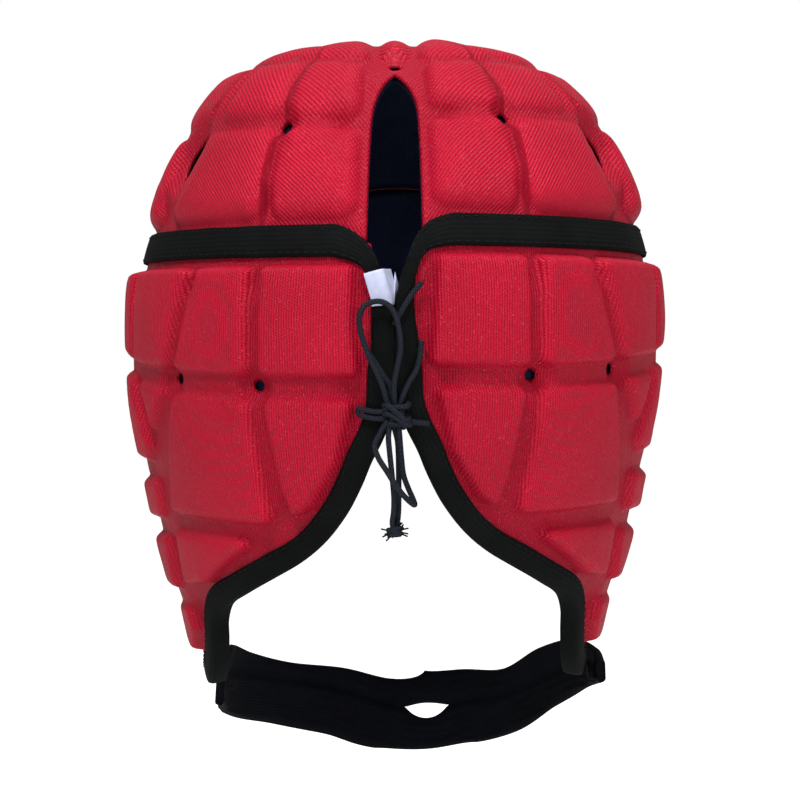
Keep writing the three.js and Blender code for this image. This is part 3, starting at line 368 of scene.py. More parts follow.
def depth_near(points, loop):
    """As depth_in, with every third corner of the loop for the points that lie far from it."""
    depth = depth_in(points, loop[::3])
    near = np.abs(depth) < 3
    depth[near] = depth_in(points[near], loop)
    return depth


def reach_of(loop):
    middle = loop.mean(0)
    side = np.roll(loop, -1, 0) - loop
    side /= np.linalg.norm(side, axis=1)[:, None]
    away = middle - loop
    return np.abs(side[:, 0] * away[:, 1] - side[:, 1] * away[:, 0]).min()


def ridges(points, scale, seed):
    """Smooth noise for a list of points, from about -1 to 1."""
    offset = Vector((seed * 7.13, seed * 3.71, seed * 1.97))
    return np.array([noise.noise(Vector((p[0] * scale, p[1] * scale, p[2] * scale if len(p) > 2 else 0)) + offset)
                     for p in points])


# Meshes

def new_piece(name, points, faces, material, nodes=(), uv=None, values=None):
    """A mesh piece in metres from points in millimetres, riding on the part's body."""
    mesh = bpy.data.meshes.new(name)
    mesh.from_pydata((np.asarray(points) * MM).tolist(), [], faces)
    mesh.update()
    mesh.shade_smooth()
    if uv is not None:
        corners = np.zeros(len(mesh.loops), int)
        mesh.loops.foreach_get("vertex_index", corners)
        layer = mesh.uv_layers.new(name="cloth")
        layer.data.foreach_set("uv", (np.asarray(uv)[corners] * MM).ravel())
    for key, column in (values or {}).items():
        mesh.attributes.new(key, "FLOAT", "POINT").data.foreach_set("value", np.asarray(column, np.float32))
    piece = bpy.data.objects.new(name, mesh)
    bpy.context.collection.objects.link(piece)
    piece.data.materials.append(material)
    settle(piece, nodes)
    return piece


def settle(piece, nodes):
    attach(piece, BODY)
    if nodes:
        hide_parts(*nodes)


def closed_sheet(outline, openings, spacing, inner=None, detail=None):
    """Flat points and triangles of a shape with openings, the loops' points first.

    The grid inside has steps of inner. Where detail says no, it has steps twice as long."""
    inner = inner or spacing
    loops = [spaced(outline, spacing, True)] + [spaced(loop, min(spacing, 1.0), True) for loop in openings]
    low, high = loops[0].min(0), loops[0].max(0)
    grid, doubled = [], []
    for row, y in enumerate(np.arange(low[1], high[1], inner * math.sqrt(3) / 2)):
        x = np.arange(low[0] + row % 2 * inner / 2, high[0], inner)
        grid.append(np.stack((x, np.full(len(x), y)), 1))
        doubled.append((np.arange(len(x)) + row // 2) % 2 + row % 2 == 0)
    grid, doubled = np.vstack(grid), np.concatenate(doubled)
    keep = depth_near(grid, loops[0]) > 0.55 * inner
    for loop in loops[1:]:
        keep &= depth_near(grid, loop) < -0.45 * inner
    grid, doubled = grid[keep], doubled[keep]
    if detail:
        grid = grid[doubled | detail(grid)]
    flat = np.vstack(loops + [grid])
    edges, start = [], 0
    for loop in loops:
        count = len(loop)
        edges += [(start + i, start + (i + 1) % count) for i in range(count)]
        start += count
    result = geometry.delaunay_2d_cdt([Vector(p) for p in flat], edges, [], 0, 1e-6, True)
    back = np.zeros(len(result[0]), int)
    for new, sources in enumerate(result[3]):
        for source in sources:
            back[new] = source
    triangles = back[np.array(result[2])]
    middle = flat[triangles].mean(1)
    inside = depth_near(middle, loops[0]) > 0
    for loop in loops[1:]:
        inside &= depth_near(middle, loop) < 0
    triangles = triangles[inside]
    a, b, c = (flat[triangles[:, k]] for k in range(3))
    area = (b - a)[:, 0] * (c - a)[:, 1] - (b - a)[:, 1] * (c - a)[:, 0]
    triangles[area < 0] = triangles[area < 0][:, ::-1]
    edge = np.full(len(flat), np.inf)
    for loop in loops:
        edge = np.minimum(edge, np.abs(depth_near(flat, loop)))
    edge[:start] = 0
    return flat, triangles, start, edge


def two_faced(rim, over, over_faces, under, under_faces):
    """Points and faces of a closed sheet from its two faces, which share the rim's points."""
    below = np.arange(len(under))
    below[rim:] += len(over) - rim
    return np.vstack((over, under[rim:])), over_faces.tolist() + below[under_faces[:, ::-1]].tolist()


def lofted_piece(rings, closed_ends=True):
    """Points and faces through rings with the same count of points, and a uv round and along."""
    count = len(rings[0])
    points = np.vstack(rings)
    faces = []
    for r in range(len(rings) - 1):
        for i in range(count):
            k = (i + 1) % count
            faces.append((r * count + i, r * count + k, (r + 1) * count + k, (r + 1) * count + i))
    if closed_ends:
        last = (len(rings) - 1) * count
        faces.append(tuple(range(count - 1, -1, -1)))
        faces.append(tuple(last + i for i in range(count)))
    arc = np.concatenate(([0.0], np.cumsum([np.linalg.norm(b.mean(0) - a.mean(0)) for a, b in zip(rings, rings[1:])])))
    around = np.concatenate(([0.0], np.cumsum(np.linalg.norm(np.diff(rings[0], axis=0), axis=1))))
    uv = np.array([(around[i], arc[r]) for r in range(len(rings)) for i in range(count)])
    return points, faces, uv


def faced_out(points, faces):
    """The faces, turned round if the closed shape they make is inside out."""
    points = np.asarray(points)
    volume = sum(np.dot(points[f[0]], np.cross(points[f[i]], points[f[i + 1]]))
                 for f in faces for i in range(1, len(f) - 1))
    return faces if volume > 0 else [tuple(reversed(f)) for f in faces]


# Pads

class Pad:
    """A pad on a flat pattern: how high the knit stands over its foam."""

    def __init__(self, corners, rise, form, seed, plan=False):
        self.plan = plan
        groove, self.slope, self.power, self.dome, widest = form
        self.middle = 0 if plan else sum(a for a, _ in corners) / len(corners)
        cell = self.flat(np.array(corners, float), crown=plan)
        if not turns_left(cell):
            cell = cell[::-1]
        foot = inset(cell, groove / 2)
        self.reach = reach_of(foot)
        self.radius = min(widest, 0.42 * self.reach)
        self.core = inset(foot, self.radius)
        chance = random.Random(seed)
        self.corners = [(corner, (foot.mean(0) - corner) / np.linalg.norm(foot.mean(0) - corner),
                         chance.uniform(-0.15, 0.42) * min(1, self.reach / 10)) for corner in foot]
        self.rise = rise * chance.uniform(0.93, 1.05)
        self.tilt = np.array((chance.uniform(-0.4, 0.4), chance.uniform(-0.4, 0.4)))
        self.low, self.high = cell.min(0) - 1, cell.max(0) + 1

    def flat(self, places, crown=False):
        if crown:
            return places
        azimuth, down = places.T
        away = (azimuth - self.middle + 180) % 360 - 180
        return np.stack((away * degree_length(down), -down * PROFILE_LENGTH), 1)

    def height(self, places, plan, floor):
        """The height over the cloth's base, and how much of the pad's rise it is, at each place."""
        spots = plan if self.plan else self.flat(places)
        near = ((spots > self.low) & (spots < self.high)).all(1)
        height, share = np.zeros(len(spots)), np.zeros(len(spots))
        if near.any():
            inside = np.maximum(depth_in(spots[near], self.core) + self.radius, 0)
            side = 1 - np.exp(-(inside / self.slope) ** self.power)
            crown = np.minimum(inside / self.reach, 1)
            away = (spots[near] - (self.low + self.high) / 2) / np.maximum(self.high - self.low, 1)
            low = floor[near]
            full = side * (1 - self.dome + self.dome * crown * (2 - crown))
            height[near] = low + (self.rise - low) * full + side * (away @ self.tilt + self.pulls(spots[near]))
            share[near] = side
        return height, share


    def pulls(self, spots):
        """The folds that the cloth pulls from the pad's corners towards its middle."""
        fold = np.zeros(len(spots))
        for corner, way, rise in self.corners:
            along = (spots - corner) @ way
            beside = (spots - corner) @ np.array((-way[1], way[0]))
            fold += rise * np.exp(-(beside / (1.0 + 0.08 * np.abs(along))) ** 2 - (along / 11) ** 2)
        return fold


# Shader groups and materials

def socket(group, name, kind, into, default=None):
    item = group.interface.new_socket(name=name, in_out="INPUT" if into else "OUTPUT", socket_type=kind)
    if default is not None:
        item.default_value = default
    return item


class Nodes:
    """Short ways to add and join nodes in one tree."""

    def __init__(self, tree):
        self.tree = tree

    def add(self, kind, **settings):
        node = self.tree.nodes.new(kind)
        for key, value in settings.items():
            if key == "inputs":
                for spot, given in value.items():
                    if isinstance(given, bpy.types.NodeSocket):
                        self.tree.links.new(given, node.inputs[spot])
                    else:
                        node.inputs[spot].default_value = given
            else:
                setattr(node, key, value)
        return node

    def math(self, operation, first, second=0.0, third=0.0):
        return self.add("ShaderNodeMath", operation=operation,
                        inputs={0: first, 1: second, 2: third}).outputs[0]

    def noise(self, vector, scale, detail=2.0, roughness=0.5):
        return self.add("ShaderNodeTexNoise", inputs={
            "Vector": vector, "Scale": scale, "Detail": detail, "Roughness": roughness}).outputs["Fac"]

    def ramp(self, value, low, high, to_low=0.0, to_high=1.0):
        return self.add("ShaderNodeMapRange", inputs={
            "Value": value, "From Min": low, "From Max": high, "To Min": to_low, "To Max": to_high}).outputs[0]

    def mix(self, share, first, second):
        node = self.add("ShaderNodeMix", data_type="RGBA")
        for spot, given in ((0, share), (6, first), (7, second)):
            if isinstance(given, bpy.types.NodeSocket):
                self.tree.links.new(given, node.inputs[spot])
            else:
                node.inputs[spot].default_value = given
        return node.outputs[2]


def group_tree(name, inputs, outputs):
    tree = bpy.data.node_groups.new(name, "ShaderNodeTree")
    for label, kind, default in inputs:
        socket(tree, label, kind, True, default)
    for label, kind in outputs:
        socket(tree, label, kind, False)
    nodes = Nodes(tree)
    return tree, nodes, nodes.add("NodeGroupInput").outputs, nodes.add("NodeGroupOutput")


def build_rib_group():
    """Ribs across the cloth's first coordinate, with stitches along them. Both pitches are in metres."""
    tree, n, given, out = group_tree(
        "ribbed_cloth",
        (("Vector", "NodeSocketVector", None), ("Rib Pitch", "NodeSocketFloat", 0.001),
         ("Stitch Pitch", "NodeSocketFloat", 0.0008), ("Wander", "NodeSocketFloat", 0.0002),
         ("Stitch Share", "NodeSocketFloat", 0.3)),
        (("Height", "NodeSocketFloat"), ("Valley", "NodeSocketFloat")))
    apart = n.add("ShaderNodeSeparateXYZ", inputs={0: given["Vector"]})
    drift = n.math("MULTIPLY", n.math("SUBTRACT", n.noise(given["Vector"], 60.0), 0.5), given["Wander"])
    across = n.math("DIVIDE", n.math("ADD", apart.outputs["X"], drift), given["Rib Pitch"])
    rib = n.math("MULTIPLY_ADD", n.math("COSINE", n.math("MULTIPLY", across, 2 * math.pi)), 0.5, 0.5)
    along = n.math("DIVIDE", apart.outputs["Y"], given["Stitch Pitch"])
    odd = n.math("MULTIPLY", n.math("FLOOR", across), 0.37)
    stitch = n.math("MULTIPLY_ADD", n.math("COSINE", n.math("MULTIPLY", n.math("ADD", along, odd), 2 * math.pi)),
                    0.5, 0.5)
    stitch_dip_and_valley_shade = n.math("SUBTRACT", 1.0, n.math("MULTIPLY", given["Stitch Share"], stitch))
    height = n.math("MULTIPLY", n.math("POWER", rib, 0.6), stitch_dip_and_valley_shade)
    n.tree.links.new(height, out.inputs["Height"])
    n.tree.links.new(n.math("SUBTRACT", 1.0, height), out.inputs["Valley"])
    return tree


def build_grain_group():
    """Fine fibre grain, broad tone and a mask of specks for painted glints, from object coordinates in metres."""
    tree, n, given, out = group_tree(
        "fibre_grain",
        (("Vector", "NodeSocketVector", None), ("Fine Scale", "NodeSocketFloat", 1400.0),
         ("Broad Scale", "NodeSocketFloat", 28.0)),
        (("Fine", "NodeSocketFloat"), ("Broad", "NodeSocketFloat"), ("Glint", "NodeSocketFloat")))
    fine = n.noise(given["Vector"], given["Fine Scale"], 3.0, 0.6)
    broad = n.noise(given["Vector"], given["Broad Scale"], 3.0, 0.55)
    n.tree.links.new(fine, out.inputs["Fine"])
    n.tree.links.new(n.ramp(broad, 0.3, 0.7), out.inputs["Broad"])
    # the Glint mask places the knit's painted glints
    n.tree.links.new(n.ramp(fine, 0.60, 0.74), out.inputs["Glint"])
    return tree


def build_braid_group():
    """The crossing strands of a round braid, from a uv of turns round and metres along."""
    tree, n, given, out = group_tree(
        "round_braid",
        (("Vector", "NodeSocketVector", None), ("Round Pitch", "NodeSocketFloat", 0.0011),
         ("Long Pitch", "NodeSocketFloat", 0.0013)),
        (("Height", "NodeSocketFloat"),))
    apart = n.add("ShaderNodeSeparateXYZ", inputs={0: given["Vector"]})
    around = n.math("DIVIDE", apart.outputs["X"], given["Round Pitch"])
    along = n.math("DIVIDE", apart.outputs["Y"], given["Long Pitch"])
    left = n.math("SINE", n.math("MULTIPLY", n.math("ADD", around, along), 2 * math.pi))
    right = n.math("SINE", n.math("MULTIPLY", n.math("SUBTRACT", around, along), 2 * math.pi))
    n.tree.links.new(n.math("MAXIMUM", left, right), out.inputs["Height"])
    return tree


def new_material(name, colour, roughness, sheen=0.0, sheen_tint=(1, 1, 1, 1), specular=0.5):
    material = bpy.data.materials.new(name)
    material.use_nodes = True
    material.diffuse_color = (*colour, 1)
    shader = material.node_tree.nodes["Principled BSDF"]
    shader.inputs["Base Color"].default_value = (*colour, 1)
    shader.inputs["Roughness"].default_value = roughness
    shader.inputs["Sheen Weight"].default_value = sheen
    shader.inputs["Sheen Tint"].default_value = sheen_tint
    shader.inputs["Specular IOR Level"].default_value = specular
    return material, Nodes(material.node_tree), shader


def use_group(n, tree, **values):
    node = n.add("ShaderNodeGroup", node_tree=tree)
    for label, given in values.items():
        spot = node.inputs[label.replace("_", " ")]
        if isinstance(given, bpy.types.NodeSocket):
            n.tree.links.new(given, spot)
        else:
            spot.default_value = given
    return node


def bumped(n, shader, heights):
    """Bump nodes in a row. heights are (height, distance in metres, strength)."""
    normal = None
    for height, distance, strength in heights:
        bump = n.add("ShaderNodeBump", inputs={"Height": height, "Distance": distance, "Strength": strength})
        if normal is not None:
            n.tree.links.new(normal, bump.inputs["Normal"])
        normal = bump.outputs["Normal"]
    n.tree.links.new(normal, shader.inputs["Normal"])


def shade(colour, share):
    return (*(c * share for c in colour), 1)


def build_materials(looks):
    ribs, grain, braid = build_rib_group(), build_grain_group(), build_braid_group()
    made = {}

    # Crimson knit: satin ribs, with painted shade in the rib valleys and in the channels between the pads, and painted
    # glints
    for name, pitch, stitch in (("crown_knit", looks.crown_rib_pitch, 0.0010),
                                ("side_knit", looks.side_rib_pitch, 0.0009)):
        red = tuple(looks.knit_colour)
        material, n, shader = new_material(name, red, 0.5, 0.0, (1.0, 0.30, 0.36, 1), 0.14)
        coordinates = n.add("ShaderNodeTexCoord")
        cloth = n.add("ShaderNodeUVMap", uv_map="cloth").outputs[0]
        rib = use_group(n, ribs, Vector=cloth, Rib_Pitch=pitch, Stitch_Pitch=stitch, Wander=0.0009,
                        Stitch_Share=0.55)
        fibre = use_group(n, grain, Vector=coordinates.outputs["Object"])
        rise = n.add("ShaderNodeAttribute", attribute_name="pad_share").outputs["Fac"]
        tone = n.mix(fibre.outputs["Broad"], shade(red, 0.90), shade(red, 1.12))
        # painted shade: the knit's colour darkened in its rib valleys
        stitch_dip_and_valley_shade = n.mix(n.math("MULTIPLY", rib.outputs["Valley"], 0.66), tone, shade(red, 0.34))
        # painted shade: the knit darkened where the pad share is low, in the channels between pads
        channel = n.mix(n.ramp(rise, 0.0, 0.7, 0.30, 0.0), stitch_dip_and_valley_shade, shade(red, 0.34))
        # painted glints: bright red specks mixed into the knit's colour
        glint = n.mix(n.math("MULTIPLY", fibre.outputs["Glint"], 0.5), channel, (0.90, 0.09, 0.17, 1))
        n.tree.links.new(glint, shader.inputs["Base Color"])
        n.tree.links.new(n.ramp(fibre.outputs["Fine"], 0.3, 0.7, 0.36, 0.60), shader.inputs["Roughness"])
        bumped(n, shader, ((fibre.outputs["Fine"], 0.0004, 0.5), (rib.outputs["Height"], 0.0005, 0.7)))
        made[name] = material

    plain = (
        ("lining_weave", tuple(looks.lining_colour), 0.85, 0.0007, 0.0007, 0.0),
        ("tape_weave", tuple(looks.tape_colour), 0.80, 0.0006, 0.0008, 0.0),
        ("strap_weave", tuple(looks.strap_colour), 0.82, 0.0008, 0.0007, 0.0),
    )
    for name, colour, roughness, pitch, stitch, sheen in plain:
        material, n, shader = new_material(name, colour, roughness, sheen, (0.75, 0.8, 1.0, 1), 0.07)
        coordinates = n.add("ShaderNodeTexCoord")
        cloth = n.add("ShaderNodeUVMap", uv_map="cloth").outputs[0]
        rib = use_group(n, ribs, Vector=cloth, Rib_Pitch=pitch, Stitch_Pitch=stitch, Wander=0.0003,
                        Stitch_Share=0.5)
        fibre = use_group(n, grain, Vector=coordinates.outputs["Object"], Broad_Scale=60.0)
        tone = n.mix(fibre.outputs["Broad"], shade(colour, 0.75), shade(colour, 1.35))
        # painted shade: the cloth's colour darkened in its rib valleys
        stitch_dip_and_valley_shade = n.mix(n.math("MULTIPLY", rib.outputs["Valley"], 0.5), tone, shade(colour, 0.35))
        n.tree.links.new(stitch_dip_and_valley_shade, shader.inputs["Base Color"])
        n.tree.links.new(n.ramp(fibre.outputs["Fine"], 0.3, 0.7, roughness - 0.08, roughness + 0.08),
                         shader.inputs["Roughness"])
        bumped(n, shader, ((fibre.outputs["Fine"], 0.0003, 0.3), (rib.outputs["Height"], 0.0003, 0.5)))
        made[name] = material

    cord = tuple(looks.lace_colour)
    material, n, shader = new_material("lace_braid", cord, 0.6, 0.0, (0.8, 0.85, 1.0, 1), 0.16)
    cloth = n.add("ShaderNodeUVMap", uv_map="cloth").outputs[0]
    strands = use_group(n, braid, Vector=cloth)
    # painted shade between the braid's strands and painted highlight on their crests
    braid_shading_mask = n.ramp(strands.outputs["Height"], -0.2, 1.0)
    n.tree.links.new(n.mix(braid_shading_mask, shade(cord, 0.35), shade(cord, 1.5)), shader.inputs["Base Color"])
    bumped(n, shader, ((strands.outputs["Height"], 0.00015, 0.6),))
    made["lace_braid"] = material

    satin = tuple(looks.label_colour)
    material, n, shader = new_material("label_satin", satin, 0.42, 0.1, (1, 1, 1, 1), 0.6)
    cloth = n.add("ShaderNodeUVMap", uv_map="cloth").outputs[0]
    rib = use_group(n, ribs, Vector=cloth, Rib_Pitch=0.0005, Stitch_Pitch=0.0006, Wander=0.0001,
                    Stitch_Share=0.4)
    fibre = use_group(n, grain, Vector=n.add("ShaderNodeTexCoord").outputs["Object"], Broad_Scale=160.0)
    tone = n.mix(fibre.outputs["Broad"], shade(satin, 0.80), shade(satin, 1.12))
    # painted shade: the satin's colour darkened a little in its rib valleys
    n.tree.links.new(n.mix(n.math("MULTIPLY", rib.outputs["Valley"], 0.15), tone, shade(satin, 0.6)),
                     shader.inputs["Base Color"])
    bumped(n, shader, ((rib.outputs["Height"], 0.0001, 0.4),))
    made["label_satin"] = material

    for name, colour in (("black_thread", (0.005, 0.0055, 0.006)), ("maroon_thread", (0.085, 0.006, 0.016))):
        material, n, shader = new_material(name, colour, 0.65, 0.0, (1, 1, 1, 1), 0.2)
        fibre = use_group(n, grain, Vector=n.add("ShaderNodeTexCoord").outputs["Object"], Fine_Scale=3000.0)
        n.tree.links.new(n.mix(fibre.outputs["Fine"], shade(colour, 0.6), shade(colour, 1.6)),
                         shader.inputs["Base Color"])
        bumped(n, shader, ((fibre.outputs["Fine"], 0.0001, 0.5),))
        made[name] = material

    material, n, shader = new_material("pale_floor", (0.90, 0.90, 0.90), 0.7)
    fibre = use_group(n, grain, Vector=n.add("ShaderNodeTexCoord").outputs["Object"], Fine_Scale=40.0,
                      Broad_Scale=2.0)
    n.tree.links.new(n.mix(fibre.outputs["Broad"], (0.89, 0.89, 0.89, 1), (0.91, 0.91, 0.91, 1)),
                     shader.inputs["Base Color"])
    shader.inputs["Emission Color"].default_value = (1, 1, 1, 1)
    seen = n.add("ShaderNodeLightPath").outputs["Is Camera Ray"]
    n.tree.links.new(n.math("MULTIPLY", seen, 0.78), shader.inputs["Emission Strength"])
    made["pale_floor"] = material
    return made


def material(name):
    if name not in bpy.data.materials:
        build_materials(bpy.context.scene.headgear_looks)
    return bpy.data.materials[name]


# Settings

class HeadgearLooks(bpy.types.PropertyGroup):
    """Colours and cloth sizes."""
    knit_colour: bpy.props.FloatVectorProperty(
        name="Knit", description="Colour of the padded panels", subtype="COLOR",
        default=(0.58, 0.0045, 0.032), min=0, max=1)
    lining_colour: bpy.props.FloatVectorProperty(
        name="Lining", description="Colour of the lining", subtype="COLOR",
        default=(0.0095, 0.0135, 0.036), min=0, max=1)
    tape_colour: bpy.props.FloatVectorProperty(
        name="Tape", description="Colour of the bindings and the band", subtype="COLOR",
        default=(0.0042, 0.0048, 0.0050), min=0, max=1)
    strap_colour: bpy.props.FloatVectorProperty(
        name="Strap", description="Colour of the chin strap", subtype="COLOR",
        default=(0.0044, 0.0050, 0.0078), min=0, max=1)
    lace_colour: bpy.props.FloatVectorProperty(
        name="Lace", description="Colour of the lace", subtype="COLOR",
        default=(0.0070, 0.0100, 0.0165), min=0, max=1)
    label_colour: bpy.props.FloatVectorProperty(
        name="Label", description="Colour of the bare care label", subtype="COLOR",
        default=(0.50, 0.53, 0.72), min=0, max=1)
    crown_rib_pitch: bpy.props.FloatProperty(
        name="Crown ribs", description="Distance between the crown knit's ribs",
        subtype="DISTANCE", unit="LENGTH", default=0.00105, min=0.0002, max=0.01, precision=5)
    side_rib_pitch: bpy.props.FloatProperty(
        name="Side ribs", description="Distance between the side knit's ribs",
        subtype="DISTANCE", unit="LENGTH", default=0.00078, min=0.0002, max=0.01, precision=5)


class HeadgearSizes(bpy.types.PropertyGroup):
    """Sizes that the cloth pieces are made to."""
    crown_pad_rise: bpy.props.FloatProperty(
        name="Crown pad rise", description="How far a crown pad stands over the cloth's base",
        subtype="DISTANCE", unit="LENGTH", default=0.0053, min=0.001, max=0.02, precision=4)
    side_pad_rise: bpy.props.FloatProperty(
        name="Side pad rise", description="How far a side or forehead pad stands over the cloth's base",
        subtype="DISTANCE", unit="LENGTH", default=0.006, min=0.001, max=0.02, precision=4)
    tab_pad_rise: bpy.props.FloatProperty(
        name="Tab pad rise", description="How far the jaw tab's pad stands over the cloth's base",
        subtype="DISTANCE", unit="LENGTH", default=0.0047, min=0.001, max=0.02, precision=4)
    channel_lift: bpy.props.FloatProperty(
        name="Channel lift", description="How far over its base the cloth spans a channel between two pads",
        subtype="DISTANCE", unit="LENGTH", default=0.003, min=0.0, max=0.01, precision=4)
    groove_width: bpy.props.FloatProperty(
        name="Channel", description="Width of the channel between two pads",
        subtype="DISTANCE", unit="LENGTH", default=0.0032, min=0.0, max=0.01, precision=4)
    cloth_step: bpy.props.FloatProperty(
        name="Cloth step", description="Spacing of the knit panels' points",
        subtype="DISTANCE", unit="LENGTH", default=0.00085, min=0.0008, max=0.006, precision=4)
    lace_diameter: bpy.props.FloatProperty(
        name="Lace diameter", description="Diameter of the lace",
        subtype="DISTANCE", unit="LENGTH", default=0.0018, min=0.0005, max=0.005, precision=4)
    stitch_length: bpy.props.FloatProperty(
        name="Stitch", description="Length of one stitch of the tape's seams",
        subtype="DISTANCE", unit="LENGTH", default=0.0023, min=0.0005, max=0.01, precision=4)


# Stage

class HEADGEAR_OT_stage(bpy.types.Operator):
    """Adds the camera, the lights and the pale floor"""
    bl_idname = "headgear.stage"
    bl_label = "Stage"

    def execute(self, context):
        scene = context.scene
        camera = bpy.data.objects.new("camera", bpy.data.cameras.new("camera"))
        camera.data.sensor_width = 36
        camera.data.lens = 158.8
        camera.data.clip_end = 50
        camera.location = (0.0017, -1.2, -0.112)
        camera.rotation_euler = (math.radians(90), 0, 0)
        scene.collection.objects.link(camera)
        scene.camera = camera

        world = bpy.data.worlds.new("studio")
        world.use_nodes = True
        n = Nodes(world.node_tree)
        sky = world.node_tree.nodes["Background"]
        sky.inputs["Color"].default_value = (1, 1, 1, 1)
        seen = n.add("ShaderNodeLightPath").outputs["Is Camera Ray"]
        n.tree.links.new(n.ramp(seen, 0.0, 1.0, 0.30, 1.0), sky.inputs["Strength"])
        scene.world = world

        lights = (
            ("key", (-0.40, -1.00, 1.05), 0.45, 17.0),
            ("fill", (0.85, -1.25, 0.35), 0.9, 8.0),
            ("top", (0.15, -0.1, 1.2), 0.6, 9.0),
        )
        for name, place, size, power in lights:
            light = bpy.data.lights.new(name, "AREA")
            light.size = size
            light.energy = power
            lamp = bpy.data.objects.new(name, light)
            lamp.location = place
            aim = Vector((0, 0, -0.11)) - Vector(place)
            lamp.rotation_euler = aim.to_track_quat("-Z", "Y").to_euler()
            scene.collection.objects.link(lamp)

        mesh = bpy.data.meshes.new("floor")
        half, level = 8.0, -0.30
        mesh.from_pydata([(-half, -half, level), (half, -half, level), (half, half, level), (-half, half, level)],
                         [], [(0, 1, 2, 3)])
        floor = bpy.data.objects.new("floor", mesh)
        floor.data.materials.append(material("pale_floor"))
        scene.collection.objects.link(floor)
        scene.view_settings.view_transform = "Standard"
        return {"FINISHED"}


# Lace

def lace_path(points):
    """Lace points in millimetres in the part's frame."""
    x, out, above = np.array(points, float).T
    z = above - KNOT_DROP * HEAD_DROP
    back = head_level(down_at(-z))[2]
    return np.stack((x, -back - TAPE_TOP - out, z), 1)


def even_curve(points, step):
    """A centripetal curve through points, at an even spacing near step."""
    points = np.asarray(points, float)
    ends = (2 * points[0] - points[1], 2 * points[-1] - points[-2])
    row = np.vstack((ends[0], points, ends[1]))
    pieces = []
    for p0, p1, p2, p3 in zip(row, row[1:], row[2:], row[3:]):
        d0, d1, d2 = (max(np.linalg.norm(b - a) ** 0.5, 1e-4) for a, b in ((p0, p1), (p1, p2), (p2, p3)))
        leave = ((p1 - p0) / d0 - (p2 - p0) / (d0 + d1) + (p2 - p1) / d1) * d1
        arrive = ((p2 - p1) / d1 - (p3 - p1) / (d1 + d2) + (p3 - p2) / d2) * d1
        t = np.linspace(0, 1, 13)[:-1, None]
        pieces.append(p1 + leave * t + (3 * p2 - 3 * p1 - 2 * leave - arrive) * t ** 2
                      + (2 * p1 - 2 * p2 + leave + arrive) * t ** 3)
    return spaced(np.vstack(pieces + [points[-1:]]), step)


def tube_rings(path, radius, sides=12):
    """Rings round a path, turned evenly along it."""
    heading = unit(np.gradient(path, axis=0))
    across = np.cross(heading[0], (0.0, 1.0, 0.2))
    across /= np.linalg.norm(across)
    turns = 2 * math.pi * np.arange(sides) / sides
    rings = []
    for spot, way in zip(path, heading):
        across = across - way * (across @ way)
        across /= np.linalg.norm(across)
        other = np.cross(way, across)
        rings.append(spot + radius * (np.cos(turns)[:, None] * across + np.sin(turns)[:, None] * other))
    return rings


def cord_mesh(path, radius):
    points, faces, uv = lofted_piece(tube_rings(path, radius))
    return points, faced_out(points, faces), uv


def joined(parts):
    points, faces, uv, start = [], [], [], 0
    for part_points, part_faces, part_uv in parts:
        points.append(part_points)
        uv.append(part_uv)
        faces += [tuple(start + i for i in face) for face in part_faces]
        start += len(part_points)
    return np.vstack(points), faces, np.vstack(uv)


